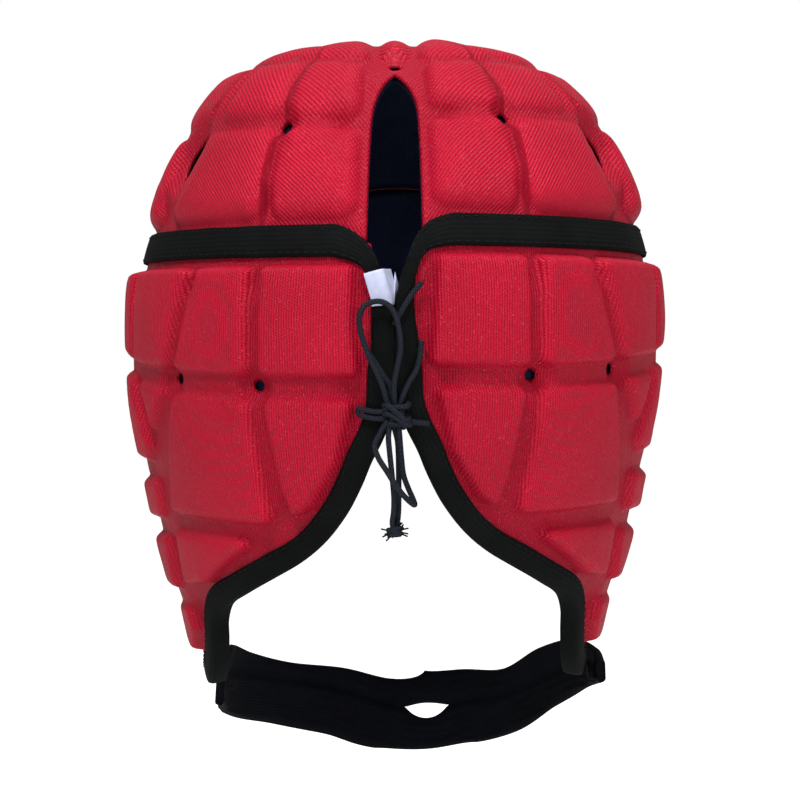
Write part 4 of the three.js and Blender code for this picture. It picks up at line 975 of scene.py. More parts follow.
class HEADGEAR_OT_lace(bpy.types.Operator):
    """Adds the round lace: its crossings, bow loops, tails and knots"""
    bl_idname = "headgear.lace"
    bl_label = "Lace"

    def execute(self, context):
        diameter = context.scene.headgear_sizes.lace_diameter
        radius = diameter / MM / 2
        cord = material("lace_braid")

        def strand(name, points):
            path = even_curve(lace_path(points), 0.6)
            points, faces, uv = cord_mesh(path, radius)
            return path, new_piece(name + "_cord", points, faces, cord, (name,), uv)

        for name, points in LACE_STRETCHES.items():
            strand(name, points)
        end_knot = self.end_knot(cord)
        for name, points in FREE_LACE.items():
            path, piece = strand(name, points)
        self.bow_knot(cord, radius)
        return {"FINISHED"}

    def bow_knot(self, cord, radius):
        """Wraps of the lace pulled tight round each other."""
        middle = lace_path([KNOT_AT])[0]
        wraps = (
            ((1.0, 0.0, 0.25), (0.1, 0.0, 1.0), 3.9, 2.1, (0.0, -0.7, 2.3)),
            ((0.9, 0.0, -0.55), (0.5, 0.0, 0.9), 4.5, 2.4, (0.1, -1.5, 0.6)),
            ((0.95, 0.0, -0.35), (0.35, 0.0, 0.95), 4.2, 2.2, (0.4, -1.1, -1.4)),
            ((1.0, 0.0, 0.3), (-0.3, 0.0, 1.0), 3.4, 1.9, (0.3, -0.3, -2.9)),
            ((0.2, 0.0, 1.0), (1.0, 0.0, -0.2), 3.9, 1.8, (-1.3, -0.1, 0.0)),
            ((-0.15, 0.0, 1.0), (1.0, 0.0, 0.2), 3.7, 1.8, (1.6, -0.2, -0.2)),
        )
        parts = []
        for long_way, short_way, wide, tall, shift in wraps:
            long_way, short_way = np.array(long_way), np.array(short_way)
            long_way /= np.linalg.norm(long_way)
            short_way /= np.linalg.norm(short_way)
            turn = np.linspace(0, 2 * math.pi, 49)[:-1]
            path = (middle + np.array(shift) + np.cos(turn)[:, None] * long_way * wide
                    + np.sin(turn)[:, None] * np.array((0, 1.0, 0)) * tall
                    + 0.5 * np.sin(2 * turn)[:, None] * short_way)
            parts.append(cord_loop(path, radius * 1.05))
        points, faces, uv = joined(parts)
        new_piece("bow_knot_wraps", points, faces, cord, ("bow_knot",), uv)

    def end_knot(self, cord):
        """The tails' knot with its frayed fibres."""
        middle = lace_path([END_KNOT_AT])[0]
        parts = []
        for tilt, size, shift in ((0.3, 1.7, 0.8), (-0.5, 1.9, 0.0), (0.1, 1.6, -0.9)):
            turn = np.linspace(0, 2 * math.pi, 33)[:-1]
            path = middle + np.stack((np.cos(turn) * size, np.sin(turn) * 1.2, shift + tilt * np.cos(turn)), 1)
            parts.append(cord_loop(path, 0.85))
        fibres = self.fibres(middle)
        points, faces, uv = joined(parts)
        return [new_piece("end_knot_wraps", points, faces, cord, ("lace_end_knot",), uv), fibres]

    def fibres(self, middle):
        """Frayed fibres that leave the end knot all round, made by Geometry Nodes."""
        chance = random.Random(11)
        stems = []
        for _ in range(28):
            angle = chance.uniform(0, 2 * math.pi)
            way = Vector((math.cos(angle), chance.uniform(-0.5, 0.3), 0.75 * math.sin(angle) - 0.05)).normalized()
            start = Vector(middle) + way * 1.0
            length = chance.uniform(1.6, 3.4)
            bend = Vector((chance.uniform(-1, 1), chance.uniform(-1, 1), chance.uniform(-1, 1))) * 0.8
            stems.append([start, start + way * length * 0.5 + bend * 0.4, start + way * length + bend])
        data = bpy.data.curves.new("frayed_fibres", "CURVE")
        data.dimensions = "3D"
        for stem in stems:
            spline = data.splines.new("POLY")
            spline.points.add(len(stem) - 1)
            for spot, point in zip(spline.points, stem):
                spot.co = (*(point * MM), 1)
        piece = grown(data, fibre_tree(), {"Radius": 0.00027}, "frayed_fibres", material("lace_braid"))
        settle(piece, ())
        return piece


def cord_loop(path, radius):
    """A closed ring of cord round a path whose last point leads back to its first."""
    rings = tube_rings(np.vstack((path, path[:2])), radius)[:-2]
    count, total = len(rings[0]), len(rings)
    points = np.vstack(rings)
    faces = [(r * count + i, r * count + (i + 1) % count, (r + 1) % total * count + (i + 1) % count,
              (r + 1) % total * count + i) for r in range(total) for i in range(count)]
    uv = np.array([(5.6 * i / count, 0.5 * r) for r in range(total) for i in range(count)])
    return points, faced_out(points, faces), uv


# Geometry Nodes

def geometry_tree(name, inputs):
    tree = bpy.data.node_groups.new(name, "GeometryNodeTree")
    tree.interface.new_socket(name="Geometry", in_out="INPUT", socket_type="NodeSocketGeometry")
    for label, kind, default in inputs:
        item = tree.interface.new_socket(name=label, in_out="INPUT", socket_type=kind)
        if default is not None:
            item.default_value = default
    tree.interface.new_socket(name="Geometry", in_out="OUTPUT", socket_type="NodeSocketGeometry")
    return tree, Nodes(tree)


def fibre_tree():
    """A thin tube along every curve."""
    tree, n = geometry_tree("fray_fibres", (("Radius", "NodeSocketFloat", 0.0002),
                                            ("Material", "NodeSocketMaterial", None)))
    given = n.add("NodeGroupInput").outputs
    smoothed = n.add("GeometryNodeResampleCurve", inputs={"Curve": given["Geometry"], "Count": 6})
    round_one = n.add("GeometryNodeCurvePrimitiveCircle", inputs={"Resolution": 5, "Radius": given["Radius"]})
    tube = n.add("GeometryNodeCurveToMesh", inputs={"Curve": smoothed.outputs[0],
                                                    "Profile Curve": round_one.outputs["Curve"],
                                                    "Fill Caps": True})
    finish_tree(n, tube.outputs[0], given["Material"])
    return tree


def stitch_tree():
    """Stitches laid end to end along every curve, each a short rounded thread."""
    tree, n = geometry_tree("tape_stitches", (
        ("Stitch Length", "NodeSocketFloat", 0.0023), ("Gap", "NodeSocketFloat", 0.0008),
        ("Thread Radius", "NodeSocketFloat", 0.0002), ("Seed", "NodeSocketInt", 3),
        ("Material", "NodeSocketMaterial", None)))
    given = n.add("NodeGroupInput").outputs
    pitch = n.add("ShaderNodeMath", operation="ADD",
                  inputs={0: given["Stitch Length"], 1: given["Gap"]}).outputs[0]
    spots = n.add("GeometryNodeCurveToPoints", mode="LENGTH", inputs={"Curve": given["Geometry"], "Length": pitch})
    thread = n.add("GeometryNodeMeshIcoSphere", inputs={"Radius": 1.0, "Subdivisions": 1})
    half = n.add("ShaderNodeMath", operation="MULTIPLY", inputs={0: given["Stitch Length"], 1: 0.5}).outputs[0]
    size = n.add("ShaderNodeCombineXYZ", inputs={"X": given["Thread Radius"], "Y": given["Thread Radius"], "Z": half})
    uneven = n.add("FunctionNodeRandomValue", data_type="FLOAT_VECTOR",
                   inputs={0: (0.85, 0.85, 0.85), 1: (1.15, 1.15, 1.1), "Seed": given["Seed"]})
    scaled = n.add("ShaderNodeVectorMath", operation="MULTIPLY",
                   inputs={0: size.outputs[0], 1: uneven.outputs[0]})
    laid = n.add("GeometryNodeInstanceOnPoints", inputs={
        "Points": spots.outputs["Points"], "Instance": thread.outputs["Mesh"],
        "Rotation": spots.outputs["Rotation"], "Scale": scaled.outputs[0]})
    finish_tree(n, laid.outputs[0], given["Material"])
    return tree


def finish_tree(n, result, paint):
    real = n.add("GeometryNodeRealizeInstances", inputs={0: result})
    painted = n.add("GeometryNodeSetMaterial", inputs={"Geometry": real.outputs[0], "Material": paint})
    out = n.add("NodeGroupOutput")
    n.tree.links.new(painted.outputs[0], out.inputs["Geometry"])


def grown(data, tree, values, name, paint):
    """A plain mesh piece from a curve and a Geometry Nodes tree."""
    source = bpy.data.objects.new(name + "_paths", data)
    bpy.context.collection.objects.link(source)
    modifier = source.modifiers.new("grow", "NODES")
    modifier.node_group = tree
    keys = {item.name: item.identifier for item in tree.interface.items_tree if item.in_out == "INPUT"}
    for label, value in {**values, "Material": paint}.items():
        modifier[keys[label]] = value
    bpy.context.view_layer.update()
    depsgraph = bpy.context.evaluated_depsgraph_get()
    mesh = bpy.data.meshes.new_from_object(source.evaluated_get(depsgraph), depsgraph=depsgraph)
    mesh.name = name
    bpy.data.objects.remove(source)
    if not mesh.materials:
        mesh.materials.append(paint)
    mesh.shade_smooth()
    piece = bpy.data.objects.new(name, mesh)
    bpy.context.collection.objects.link(piece)
    return piece


def poly_curves(name, paths):
    data = bpy.data.curves.new(name, "CURVE")
    data.dimensions = "3D"
    data.twist_mode = "Z_UP"
    for path in paths:
        spline = data.splines.new("POLY")
        spline.points.add(len(path) - 1)
        flat = np.hstack((path * MM, np.ones((len(path), 1)))).ravel()
        spline.points.foreach_set("co", flat)
    return data


# Outlines of the panels

def slit_places():
    half = [(slit_azimuth(down, share), down) for down, share in SLIT_EDGE]
    flat = crown_flat([(0, SLIT_TOP), *half])
    return [tuple(p) for p in crown_places(curved(flat))]


def crown_outline():
    right = slit_places()
    end = right[-1][0]
    hem = hem_places(end + 0.5, 360 - end - 0.5, 0)
    left = [(-azimuth, down) for azimuth, down in reversed(right[1:])]
    return crown_flat(right + hem + left)


def side_edge():
    """The bound edge of the right side panel, smoothed on its flat pattern."""
    return curved(side_flat(SIDE_EDGE))


def side_outline():
    top = side_flat(hem_places(FRONT_SEAM, SIDE_EDGE[0][0], 0.4))
    return np.vstack((side_edge(), top[1:-1]))


def round_front(places):
    return [(360 - azimuth, down) for azimuth, down in places]


def brow_edge():
    right = list(BROW_EDGE)
    return curved(side_flat(right + round_front(right[:-1])[::-1]))


def front_outline():
    first = BROW_EDGE[0][0]
    return np.vstack((brow_edge(), side_flat(hem_places(360 - first, first, 0.4))))


def vent_loop(place, flat, width=3.4):
    middle = flat([place])[0]
    turn = np.linspace(0, 2 * math.pi, 15)[:-1]
    return middle + width / 2 * np.stack((np.cos(turn), np.sin(turn)), 1)


def ear_loop():
    azimuth, down, half_width, half_height = EAR
    turn = np.linspace(0, 2 * math.pi, 61)[:-1]
    size = degree_length(np.array([down]))[0]
    return side_flat(np.stack((azimuth + half_width * np.cos(turn) / size,
                               down + half_height * np.sin(turn) / PROFILE_LENGTH), 1))


def flipped(flat):
    return flat[::-1] * (-1, 1)


class PanelPlan:
    """What one padded panel is cut to."""

    def __init__(self, name, outline, openings, vents, cells, places):
        self.name, self.outline, self.openings, self.vents, self.cells = name, outline, openings, vents, cells
        self.places = places
        self.knit = "crown_knit" if name == "crown" else "side_knit"

    def cloth(self, flat):
        """The knit's own coordinates, across its ribs and along them.

        The crown's ribs run down towards the slit, and turn with the columns of its pads."""
        if self.name != "crown":
            return flat
        x, y = np.hypot(flat[:, 0], 2.0), flat[:, 1]
        azimuth = np.degrees(np.arctan2(x, -y))
        turn = np.radians(np.interp(azimuth, *zip(*CROWN_RIB_TURNS)))
        return np.stack((y * np.sin(turn) - x * np.cos(turn), -x * np.sin(turn) - y * np.cos(turn)), 1)


def panel_plans():
    leaf = curved(crown_flat([*CROWN_OPENING, CROWN_OPENING[0]]), 6)[:-1]
    crown_cells = [(c, False) for c in CROWN_PADS] + [(mirrored(c), False) for c in CROWN_PADS]
    side_vents = [vent_loop(v, side_flat) for v in SIDE_VENTS]
    side_cells = [(c, False) for c in SIDE_PADS] + [(TAB_PAD, True)]
    front_cells = [(c, False) for c in FRONT_PADS] + [(round_front(c), False) for c in FRONT_PADS[1:]]
    return (
        PanelPlan("crown", crown_outline(), [leaf, flipped(leaf)], [vent_loop(v, crown_flat) for v in CROWN_VENTS],
                  crown_cells, crown_places),
        PanelPlan("right_side", side_outline(), [ear_loop()], side_vents, side_cells, side_places),
        PanelPlan("left_side", flipped(side_outline()), [flipped(ear_loop())], [flipped(v) for v in side_vents],
                  [(mirrored(c), tab) for c, tab in side_cells], side_places),
        PanelPlan("front", front_outline(), [], [], front_cells, side_places),
    )


def panel_pads(plan, sizes):
    """The crown's pads are domed over narrow channels, and the others flat between wider ones."""
    groove = sizes.groove_width / MM
    on_crown = plan.name == "crown"
    form = (0.45 * groove, 2.1, 1.25, 0.26, 5.5) if on_crown else (0.8 * groove, 1.35, 1.7, 0.12, 3.4)
    own_rise = (sizes.crown_pad_rise if on_crown else sizes.side_pad_rise) / MM
    pads = [Pad(corners, sizes.tab_pad_rise / MM if tab else own_rise, form, seed=f"{plan.name}{i}")
            for i, (corners, tab) in enumerate(plan.cells)]
    if on_crown:
        side, end = RIDGE_WIDTH / 2, RIDGE_DOWN * PROFILE_LENGTH
        ridge = ((-side, -end), (side, -end), (side, end), (-side, end))
        pads.append(Pad(ridge, own_rise, form, seed="ridge", plan=True))
    return pads


class HEADGEAR_OT_panels(bpy.types.Operator):
    """Adds the padded knit panels: the crown, the two sides and the forehead"""
    bl_idname = "headgear.panels"
    bl_label = "Padded panels"

    def execute(self, context):
        sizes = context.scene.headgear_sizes
        for plan in panel_plans():
            self.panel(plan, sizes)
        return {"FINISHED"}

    def panel(self, plan, sizes):
        step = sizes.cloth_step / MM * 1.0
        lift = sizes.channel_lift / MM
        pads = panel_pads(plan, sizes)
        holes = plan.openings + plan.vents

        def steep(grid):
            share = np.zeros(len(grid))
            places = plan.places(grid)
            for pad in pads:
                share = np.maximum(share, pad.height(places, grid, share * 0)[1])
            return share < 0.985

        flat, triangles, rim, edge = closed_sheet(plan.outline, holes, step, detail=steep)
        places = plan.places(flat)
        floor = self.floor(plan, flat, lift)
        height, share = floor, np.zeros(len(flat))
        for pad in pads:
            up, side = pad.height(places, flat, floor)
            height, share = np.maximum(height, up), np.maximum(share, side)
        height, folds = self.pulled(plan, flat, floor, height)
        middle, half = (FABRIC_TOP + FABRIC_BOTTOM) / 2, (FABRIC_TOP - FABRIC_BOTTOM) / 2
        rounding = half * rounded(edge, 1.4)
        broad = ridges(flat, 0.05, 2)
        crease = ridges(flat * (1.0, 0.4), 0.20, 5)
        pucker = ridges(flat, 0.34, 9)
        over = middle + rounding + height + share * (0.5 * broad + folds)
        over += np.where(edge > 1.0, 0.26 * crease * (1 - 0.5 * share) + 0.34 * pucker * share * (1 - share), 0)
        outer = on_head(*places.T, over)
        plain, plain_triangles, _, plain_edge = closed_sheet(plan.outline, holes, step, inner=3.0)
        azimuth, down = plan.places(plain).T
        rounding = half * rounded(plain_edge, 1.4)
        points, faces = two_faced(rim, outer, triangles, on_head(azimuth, down, middle - rounding), plain_triangles)
        # pad_share also masks the painted shade in the knit's channels
        shares = np.concatenate((share, np.zeros(len(plain) - rim)))
        piece = new_piece(plan.name + "_padding", points, faces, material(plan.knit),
                          (plan.name + "_panel",), plan.cloth(np.vstack((flat, plain[rim:]))), {"pad_share": shares})

    def floor(self, plan, flat, lift):
        """How high the cloth spans its channels, which is less near the panel's edges and openings."""
        from_edge = np.abs(depth_near(flat, spaced(plan.outline, 2.0, True)))
        from_opening = np.full(len(flat), OPENING_FLAT)
        for loop in plan.openings + plan.vents:
            from_opening = np.minimum(from_opening, np.abs(depth_in(flat, loop)))
        return lift * smooth((from_edge - EDGE_FLAT) / EDGE_FLAT) * smooth(from_opening / OPENING_FLAT)

    def pulled(self, plan, flat, floor, height):
        """The height with the pads drawn down to the vents, and the folds that run out from each vent."""
        folds = np.zeros(len(flat))
        for k, loop in enumerate(plan.vents):
            away = flat - loop.mean(0)
            distance = np.hypot(*away.T)
            height = floor + (height - floor) * (1 - 0.85 * np.exp(-(distance / 4.4) ** 2))
            turn = np.arctan2(away[:, 1], away[:, 0])
            folds += 0.34 * np.cos(6 * turn + 1.3 * k) * np.exp(-distance / 10) * smooth(distance / 4)
        for loop in plan.openings if plan.name == "crown" else ():
            distance = np.abs(depth_in(flat, loop))
            behind = flat[:, 1] < loop[:, 1].mean()
            height = floor + (height - floor) * smooth(distance / np.where(behind, 16, 7))
        return height, folds


SEAM_REACH = (132, 229)
LINING_STEP = 2.6


class HEADGEAR_OT_linings(bpy.types.Operator):
    """Adds the navy linings and the maroon seam inside the forehead"""
    bl_idname = "headgear.linings"
    bl_label = "Linings"

    def execute(self, context):
        sizes = context.scene.headgear_sizes
        for plan in panel_plans():
            flat, triangles, rim, edge = closed_sheet(plan.outline, plan.openings, LINING_STEP)
            places = plan.places(flat)
            share = np.zeros(len(flat))
            for pad in panel_pads(plan, sizes):
                share = np.maximum(share, pad.height(places, flat, share * 0)[1])
            rounding = 0.5 * rounded(edge, 1.2)
            over, under = 0.5 + rounding, 0.5 - rounding - 0.45 * share * np.minimum(edge / 6, 1)
            points, faces = two_faced(rim, on_head(*places.T, over), triangles, on_head(*places.T, under), triangles)
            uv = np.vstack((flat, flat[rim:]))
            cloth = new_piece(plan.name + "_lining_cloth", points, faces, material("lining_weave"),
                              (plan.name + "_lining",), uv)
        azimuth = np.arange(*SEAM_REACH, 1.0)
        points, faces, uv = cord_mesh(spaced(on_head(azimuth, hem_down(azimuth), -0.55), 1.2), 0.35)
        new_piece("lining_seam", points, faces, material("maroon_thread"), (), uv)
        return {"FINISHED"}


# Tape

TAPE_SECTION = np.array((
    (6.0, 3.50), (6.2, 4.05), (5.9, 4.75), (5.0, 5.10), (3.5, 5.20), (1.8, 5.22), (0.4, 5.12), (-0.7, 4.75),
    (-1.5, 4.00), (-1.8, 2.90), (-1.8, 1.00), (-1.6, -0.40), (-1.1, -1.20), (0.0, -1.70), (1.6, -1.78),
    (3.2, -1.75), (4.1, -1.60), (4.3, -1.20), (4.0, -0.75), (2.4, -0.55), (0.6, -0.50), (-0.3, -0.30),
    (-0.6, 0.60), (-0.6, 2.60), (-0.2, 3.40), (1.4, 3.52), (4.0, 3.50),
))
# Columns: share of the band's half width, and height
BAND_SECTION = np.array((
    (-1.0, 4.1), (-0.97, 4.75), (-0.85, 5.05), (-0.5, 5.12), (0.0, 5.15), (0.5, 5.12), (0.85, 5.05), (0.97, 4.75),
    (1.0, 4.1), (0.97, 3.65), (0.85, 3.5), (0.5, 3.48), (0.0, 3.48), (-0.5, 3.48), (-0.85, 3.5), (-0.97, 3.65),
))
# The side bindings start this far along the edge. Stitches lie this far in from it and this high.
BOUND_FROM, STITCH_IN, STITCH_HEIGHT, BAND_SEAM = 8.5, 5.0, 5.25, 0.76


def arc_along(line):
    return np.concatenate(([0.0], np.cumsum(np.linalg.norm(np.diff(line, axis=0), axis=1))))


def bound_rings(edge, reach, sunk):
    """Rings of the folded tape along an edge on the side pattern. Its first sunk millimetres lie lower."""
    inwards, arc = sideways(edge), arc_along(edge)
    wide = np.interp(arc, *zip(*reach))
    dip = 0.6 * (1 - smooth(arc / sunk)) if sunk else np.zeros(len(arc))
    rings = []
    wave = ridges(edge, 0.06, 8)
    for spot, way, ripple, share, low in zip(edge, inwards, wave, wide, dip):
        section = TAPE_SECTION * (1.0 + 0.05 * ripple, 1.0)
        section[:, 0] = np.where(section[:, 0] > 0, section[:, 0] * share, section[:, 0])
        places = side_places(spot + section[:, :1] * way)
        lift = 0.12 * ripple - np.where(section[:, 1] > 2, low, 0)
        rings.append(on_head(places[:, 0], places[:, 1], section[:, 1] + lift))
    return rings


def band_frame(side):
    """The band's middle line and half width on the crown's flat pattern, from the slit round to the front."""
    rows = list(BAND_CORNERS[side])
    rows += [(azimuth, float(hem_down(azimuth)), 4.9) for azimuth in np.arange(13, 181, 2.0)]
    places = np.array([(side * azimuth, down) for azimuth, down, _ in rows])
    return crown_flat(places), np.array([half for *_, half in rows])


class HEADGEAR_OT_tapes(bpy.types.Operator):
    """Adds the black band over the crown's seam and the folded bindings, with their stitches"""
    bl_idname = "headgear.tapes"
    bl_label = "Tapes"

    def execute(self, context):
        tape = material("tape_weave")
        edge = side_edge()
        bound = spaced(edge[arc_along(edge) > BOUND_FROM], 1.5)
        stitches = []
        brow = spaced(brow_edge(), 2.0)
        for name, line in (("right_binding", bound), ("left_binding", flipped(bound)), ("brow_binding", brow)):
            reach = TAPE_REACH[name]
            if name == "left_binding":
                reach = [(arc_along(line)[-1] - away, share) for away, share in reversed(reach)]
            rings = bound_rings(line, reach, 4.0 if name == "right_binding" else 0)
            points, faces, uv = lofted_piece(rings)
            new_piece(name + "_tape", points, faced_out(points, faces), tape, (name,), uv)
            stitches.append(self.seam(line))
        points, faces, uv, seams = self.band()
        new_piece("crown_band_tape", points, faced_out(points, faces), tape, ("crown_band",), uv)
        stitches += seams
        stitch_length = context.scene.headgear_sizes.stitch_length
        data = poly_curves("stitch_lines", stitches)
        piece = grown(data, stitch_tree(), {"Stitch Length": stitch_length, "Gap": 0.0008, "Thread Radius": 0.00015,
                                            "Seed": 3}, "tape_stitching", material("black_thread"))
        settle(piece, ())
        return {"FINISHED"}

    def seam(self, line):
        return on_head(*side_places(line + STITCH_IN * sideways(line)).T, STITCH_HEIGHT)

    def band(self):
        """The band in one strip from the right of the slit round the front to the left of it."""
        right, half = band_frame(1)
        left, left_half = band_frame(-1)
        line = np.vstack((right, left[::-1][1:]))
        half = np.concatenate((half, left_half[::-1][1:]))
        steps = np.linspace(0, 1, 8 * len(line))
        line, half = catmull(line, steps), catmull(half[:, None], steps)[:, 0]
        dense = spaced(line, 1.2)
        arc = arc_along(line)
        along = np.linspace(0, arc[-1], len(dense))
        half = np.interp(along, arc, half)
        sunk = 0.9 * (1 - smooth(np.minimum(along, arc[-1] - along) / 4))
        across = sideways(dense)
        shares, heights = BAND_SECTION.T
        wave = ridges(dense, 0.05, 4)
        rings, seams = [], ([], [])
        for spot, way, wide, ripple, low in zip(dense, across, half, wave, sunk):
            wide = wide * (1 + 0.03 * ripple)
            ripple -= low / 0.15
            places = crown_places(spot + shares[:, None] * wide * way)
            rings.append(on_head(*places.T, heights + 0.15 * ripple))
            for k, share in enumerate((-BAND_SEAM, BAND_SEAM)):
                place = crown_places((spot + share * wide * way)[None])[0]
                seams[k].append(on_head([place[0]], [place[1]], 5.18 + 0.15 * ripple)[0])
        points, faces, uv = lofted_piece(rings)
        return points, faces, uv, [np.array(s) for s in seams]


# Strap

STRAP_MIDDLES = np.array([(across * HEAD_WIDTH / 2, forward * FRONT_DEPTH, -HEAD_DROP - drop * STRAP_DROP)
                          for across, forward, drop, *_ in STRAP_STATIONS])
STRAP_SHARES = np.array([row[3:] for row in STRAP_STATIONS])


def strap_place(share, across, height):
    """Points of the strap from shares of its stations, heights on its face in millimetres."""
    last = len(STRAP_MIDDLES) - 1
    spot = catmull(STRAP_MIDDLES, share)
    step = 1e-3
    ahead, behind = (catmull(STRAP_MIDDLES, np.clip(share + turn, 0, 1)) for turn in (step, -step))
    way = unit(ahead - behind)
    lean = np.radians(np.interp(share * last, np.arange(last + 1), STRAP_SHARES[:, 2]))
    out = unit(np.stack((way[:, 1], -way[:, 0], np.zeros(len(way))), 1))
    up = np.stack((np.zeros(len(way)), np.zeros(len(way)), np.cos(lean)), 1) + out * np.sin(lean)[:, None]
    up = unit(up - way * (up * way).sum(1)[:, None])
    out = np.cross(way, up)
    return spot + up * across[:, None] + out * height[:, None]


STRAP_STEP, STRAP_ROWS, STRAP_RIB_PITCH, STRAP_CALM = 1.1, 13, 2.9, 14


class HEADGEAR_OT_strap(bpy.types.Operator):
    """Adds the ribbed chin strap with its fold and slot, and its closure patch"""
    bl_idname = "headgear.strap"
    bl_label = "Chin strap"

    def execute(self, context):
        length = np.linalg.norm(np.diff(catmull(STRAP_MIDDLES, np.linspace(0, 1, 400)), axis=0), axis=1).sum()
        steps = int(length / STRAP_STEP)
        share = np.linspace(0, 1, steps + 1)
        above, below = (catmull(STRAP_SHARES, share)[:, k] * STRAP_WIDTH for k in (0, 1))
        calm = smooth(np.minimum(share, 1 - share) * length / STRAP_CALM)
        rows = STRAP_ROWS
        slot_share = np.clip(1 - ((share - SLOT_AT) * length / (SLOT_LENGTH / 2)) ** 2, 0, None)
        slit = SLOT_HEIGHT / 2 * slot_share
        wave = ridges(np.stack((share * length, share * 0), 1), 0.045, 6)
        wave_low = ridges(np.stack((share * length, share * 0), 1), 0.06, 9)
        strips = []
        for side in (1, -1):
            wide = above if side > 0 else below
            wide = wide * (1 + 0.04 * (wave if side > 0 else wave_low))
            rings = []
            for i in range(steps + 1):
                across = side * np.linspace(slit[i], wide[i], rows)
                inside = (np.abs(across) - slit[i]) / max(wide[i] - slit[i], 1e-6)
                edge = np.minimum(inside, 1 - inside) * (wide[i] - slit[i])
                fold = calm[i] * np.exp(-((across / 1.3) ** 2)) if slit[i] <= 0 else np.zeros(rows)
                open_edge = 1.0 if slit[i] > 0 else 0.0
                free = np.where(inside < 0.5, open_edge, 1.0)
                thin = 1 - free * (1 - rounded(edge, 1.3))
                along = np.full(rows, share[i])
                rib = 0.42 * calm[i] * np.cos(across * 2 * math.pi / STRAP_RIB_PITCH) * (1.0 if side < 0 else 0.35)
                crumple = 0.55 * calm[i] * ridges(np.stack((along * length, across * 2.2), 1), 0.11, 12)
                front = STRAP_THICK / 2 * thin + thin * (rib + crumple) - 1.7 * fold
                back = -STRAP_THICK / 2 * thin + 0.3 * fold + 0.3 * crumple * thin
                rings.append((strap_place(along, across, front), strap_place(along, across, back)))
            strips.append(rings)
        return self.join(strips, share, length, slit, rows, steps)

    def join(self, strips, share, length, slit, rows, steps):
        index, points, uv, faces = {}, [], [], []

        def vertex(side, i, j, face):
            if j == 0 and slit[i] <= 0:
                key = ("fold", i, face)
            elif j == rows - 1 or (j == 0 and slit[i] > 0):
                key = (side, i, j)
            else:
                key = (side, i, j, face)
            if key not in index:
                index[key] = len(points)
                ring = strips[side][i]
                place = ring[0][j] if face == 0 else ring[1][j]
                if len(key) == 3 and key[0] != "fold":
                    place = (ring[0][j] + ring[1][j]) / 2
                points.append(place)
                uv.append(((1 if side == 0 else -1) * j * 1.0, share[i] * length))
            return index[key]

        for side in (0, 1):
            for i in range(steps):
                for j in range(rows - 1):
                    for face in (0, 1):
                        quad = [vertex(side, i, j, face), vertex(side, i + 1, j, face),
                                vertex(side, i + 1, j + 1, face), vertex(side, i, j + 1, face)]
                        if (side == 0) == (face == 0):
                            quad.reverse()
                        quad = list(dict.fromkeys(quad))
                        if len(quad) > 2:
                            faces.append(tuple(quad))
        for i, turn in ((0, 1), (steps, -1)):
            ring = [vertex(1, i, j, 0) for j in range(rows - 1, 0, -1)]
            ring += [vertex(0, i, j, 0) for j in range(rows)]
            ring += [vertex(0, i, j, 1) for j in range(rows - 2, -1, -1)]
            ring += [vertex(1, i, j, 1) for j in range(1, rows - 1)]
            faces.append(tuple(ring[::turn]))
        band = new_piece("chin_strap_band", points, faced_out(points, faces), material("strap_weave"),
                         ("chin_strap",), uv)
        self.patch()
        return {"FINISHED"}

    def patch(self):
        last = len(STRAP_STATIONS) - 1
        share = np.linspace(12.62, 13.78, 15) / last
        rings = []
        for s in share:
            end = min(s - share[0], share[-1] - s) * last / 0.12
            shrink = 0.75 + 0.25 * min(end, 1)
            across = np.array((-1, -0.9, 0, 0.9, 1, 1, 0.9, 0, -0.9, -1)) * 0.12 * STRAP_WIDTH * shrink
            height = np.array((2.3, 1.85, 1.8, 1.85, 2.3, 3.7, 4.15, 4.2, 4.15, 3.7))
            rings.append(strap_place(np.full(10, s), across, height))
        points, faces, uv = lofted_piece(rings)
        new_piece("fastener_patch", points, faced_out(points, faces), material("strap_weave"),
                  ("strap_fastener",), uv)


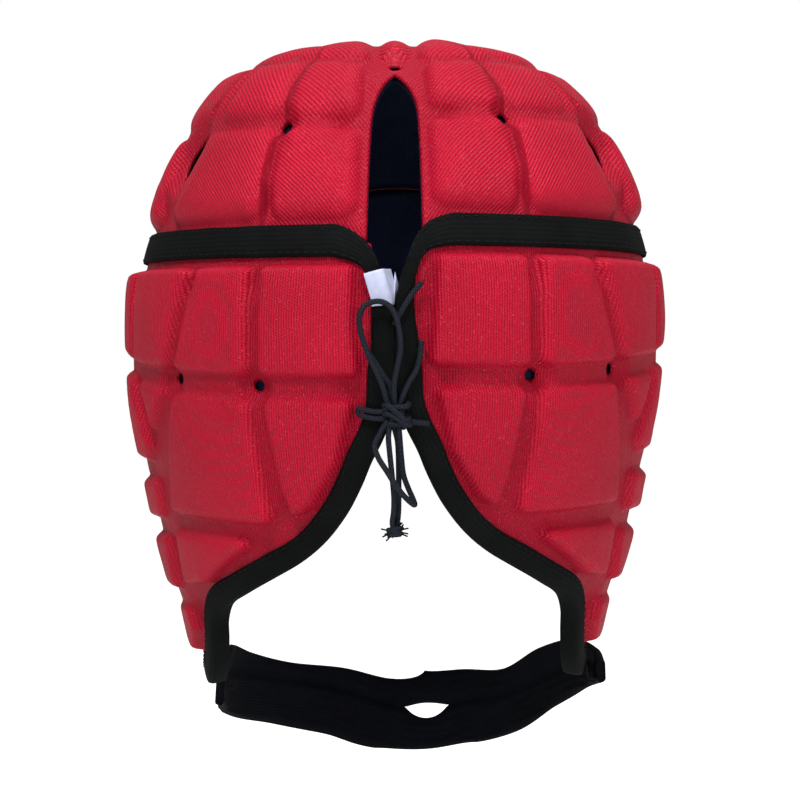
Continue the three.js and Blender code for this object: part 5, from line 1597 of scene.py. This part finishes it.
class HEADGEAR_OT_label(bpy.types.Operator):
    """Adds the bare folded label at the slit"""
    bl_idname = "headgear.label"
    bl_label = "Label"

    def execute(self, context):
        down = LABEL_DOWN + np.linspace(0, LABEL_HEIGHT / PROFILE_LENGTH, 15)
        azimuth = np.interp(down, [row[1] for row in SIDE_EDGE[:6]], [row[0] for row in SIDE_EDGE[:6]])
        edge = side_flat(np.stack((-azimuth, down), 1))[::-1]
        line = np.array(((3.8, 5.62), (2.8, 5.70), (1.6, 5.76), (0.2, 5.74), (-0.9, 5.40), (-1.9, 4.5), (-2.3, 3.0),
                         (-3.0, 1.0), (-3.9, -0.8), (-3.8, -2.0), (-2.4, -2.5), (0.4, -2.45), (2.6, -2.4)))
        line = curved(line, 3)
        side = sideways(line) * 0.2
        section = np.vstack((line + side, (line - side)[::-1]))
        rings = []
        for k, (spot, inwards) in enumerate(zip(edge, sideways(edge))):
            puff = 0.25 * math.sin(math.pi * k / (len(edge) - 1))
            places = side_places(spot + section[:, :1] * inwards)
            rings.append(on_head(*places.T, section[:, 1] + puff * (section[:, 1] > 4)))
        points, faces, uv = lofted_piece(rings)
        loop = new_piece("label_loop", points, faced_out(points, faces), material("label_satin"),
                         ("care_label",), uv)
        return {"FINISHED"}


OPERATORS = (HEADGEAR_OT_stage, HEADGEAR_OT_lace, HEADGEAR_OT_panels, HEADGEAR_OT_linings, HEADGEAR_OT_tapes,
             HEADGEAR_OT_strap, HEADGEAR_OT_label)


class HEADGEAR_PT_sidebar(bpy.types.Panel):
    """Lists the headgear's settings and pieces"""
    bl_idname = "HEADGEAR_PT_sidebar"
    bl_label = "Padded headgear"
    bl_space_type = "VIEW_3D"
    bl_region_type = "UI"
    bl_category = "Headgear"

    def draw(self, context):
        for group in (context.scene.headgear_sizes, context.scene.headgear_looks):
            for key in type(group).__annotations__:
                self.layout.prop(group, key)
        for operator in OPERATORS:
            self.layout.operator(operator.bl_idname)


CLASSES = (HeadgearLooks, HeadgearSizes, *OPERATORS, HEADGEAR_PT_sidebar)


def register():
    for cls in CLASSES:
        bpy.utils.register_class(cls)
    bpy.types.Scene.headgear_looks = bpy.props.PointerProperty(type=HeadgearLooks)
    bpy.types.Scene.headgear_sizes = bpy.props.PointerProperty(type=HeadgearSizes)


def unregister():
    del bpy.types.Scene.headgear_sizes
    del bpy.types.Scene.headgear_looks
    for cls in reversed(CLASSES):
        bpy.utils.unregister_class(cls)


def main():
    register()
    for operator in OPERATORS:
        group, name = operator.bl_idname.split(".")
        getattr(getattr(bpy.ops, group), name)()


if __name__ == "__main__":
    main()
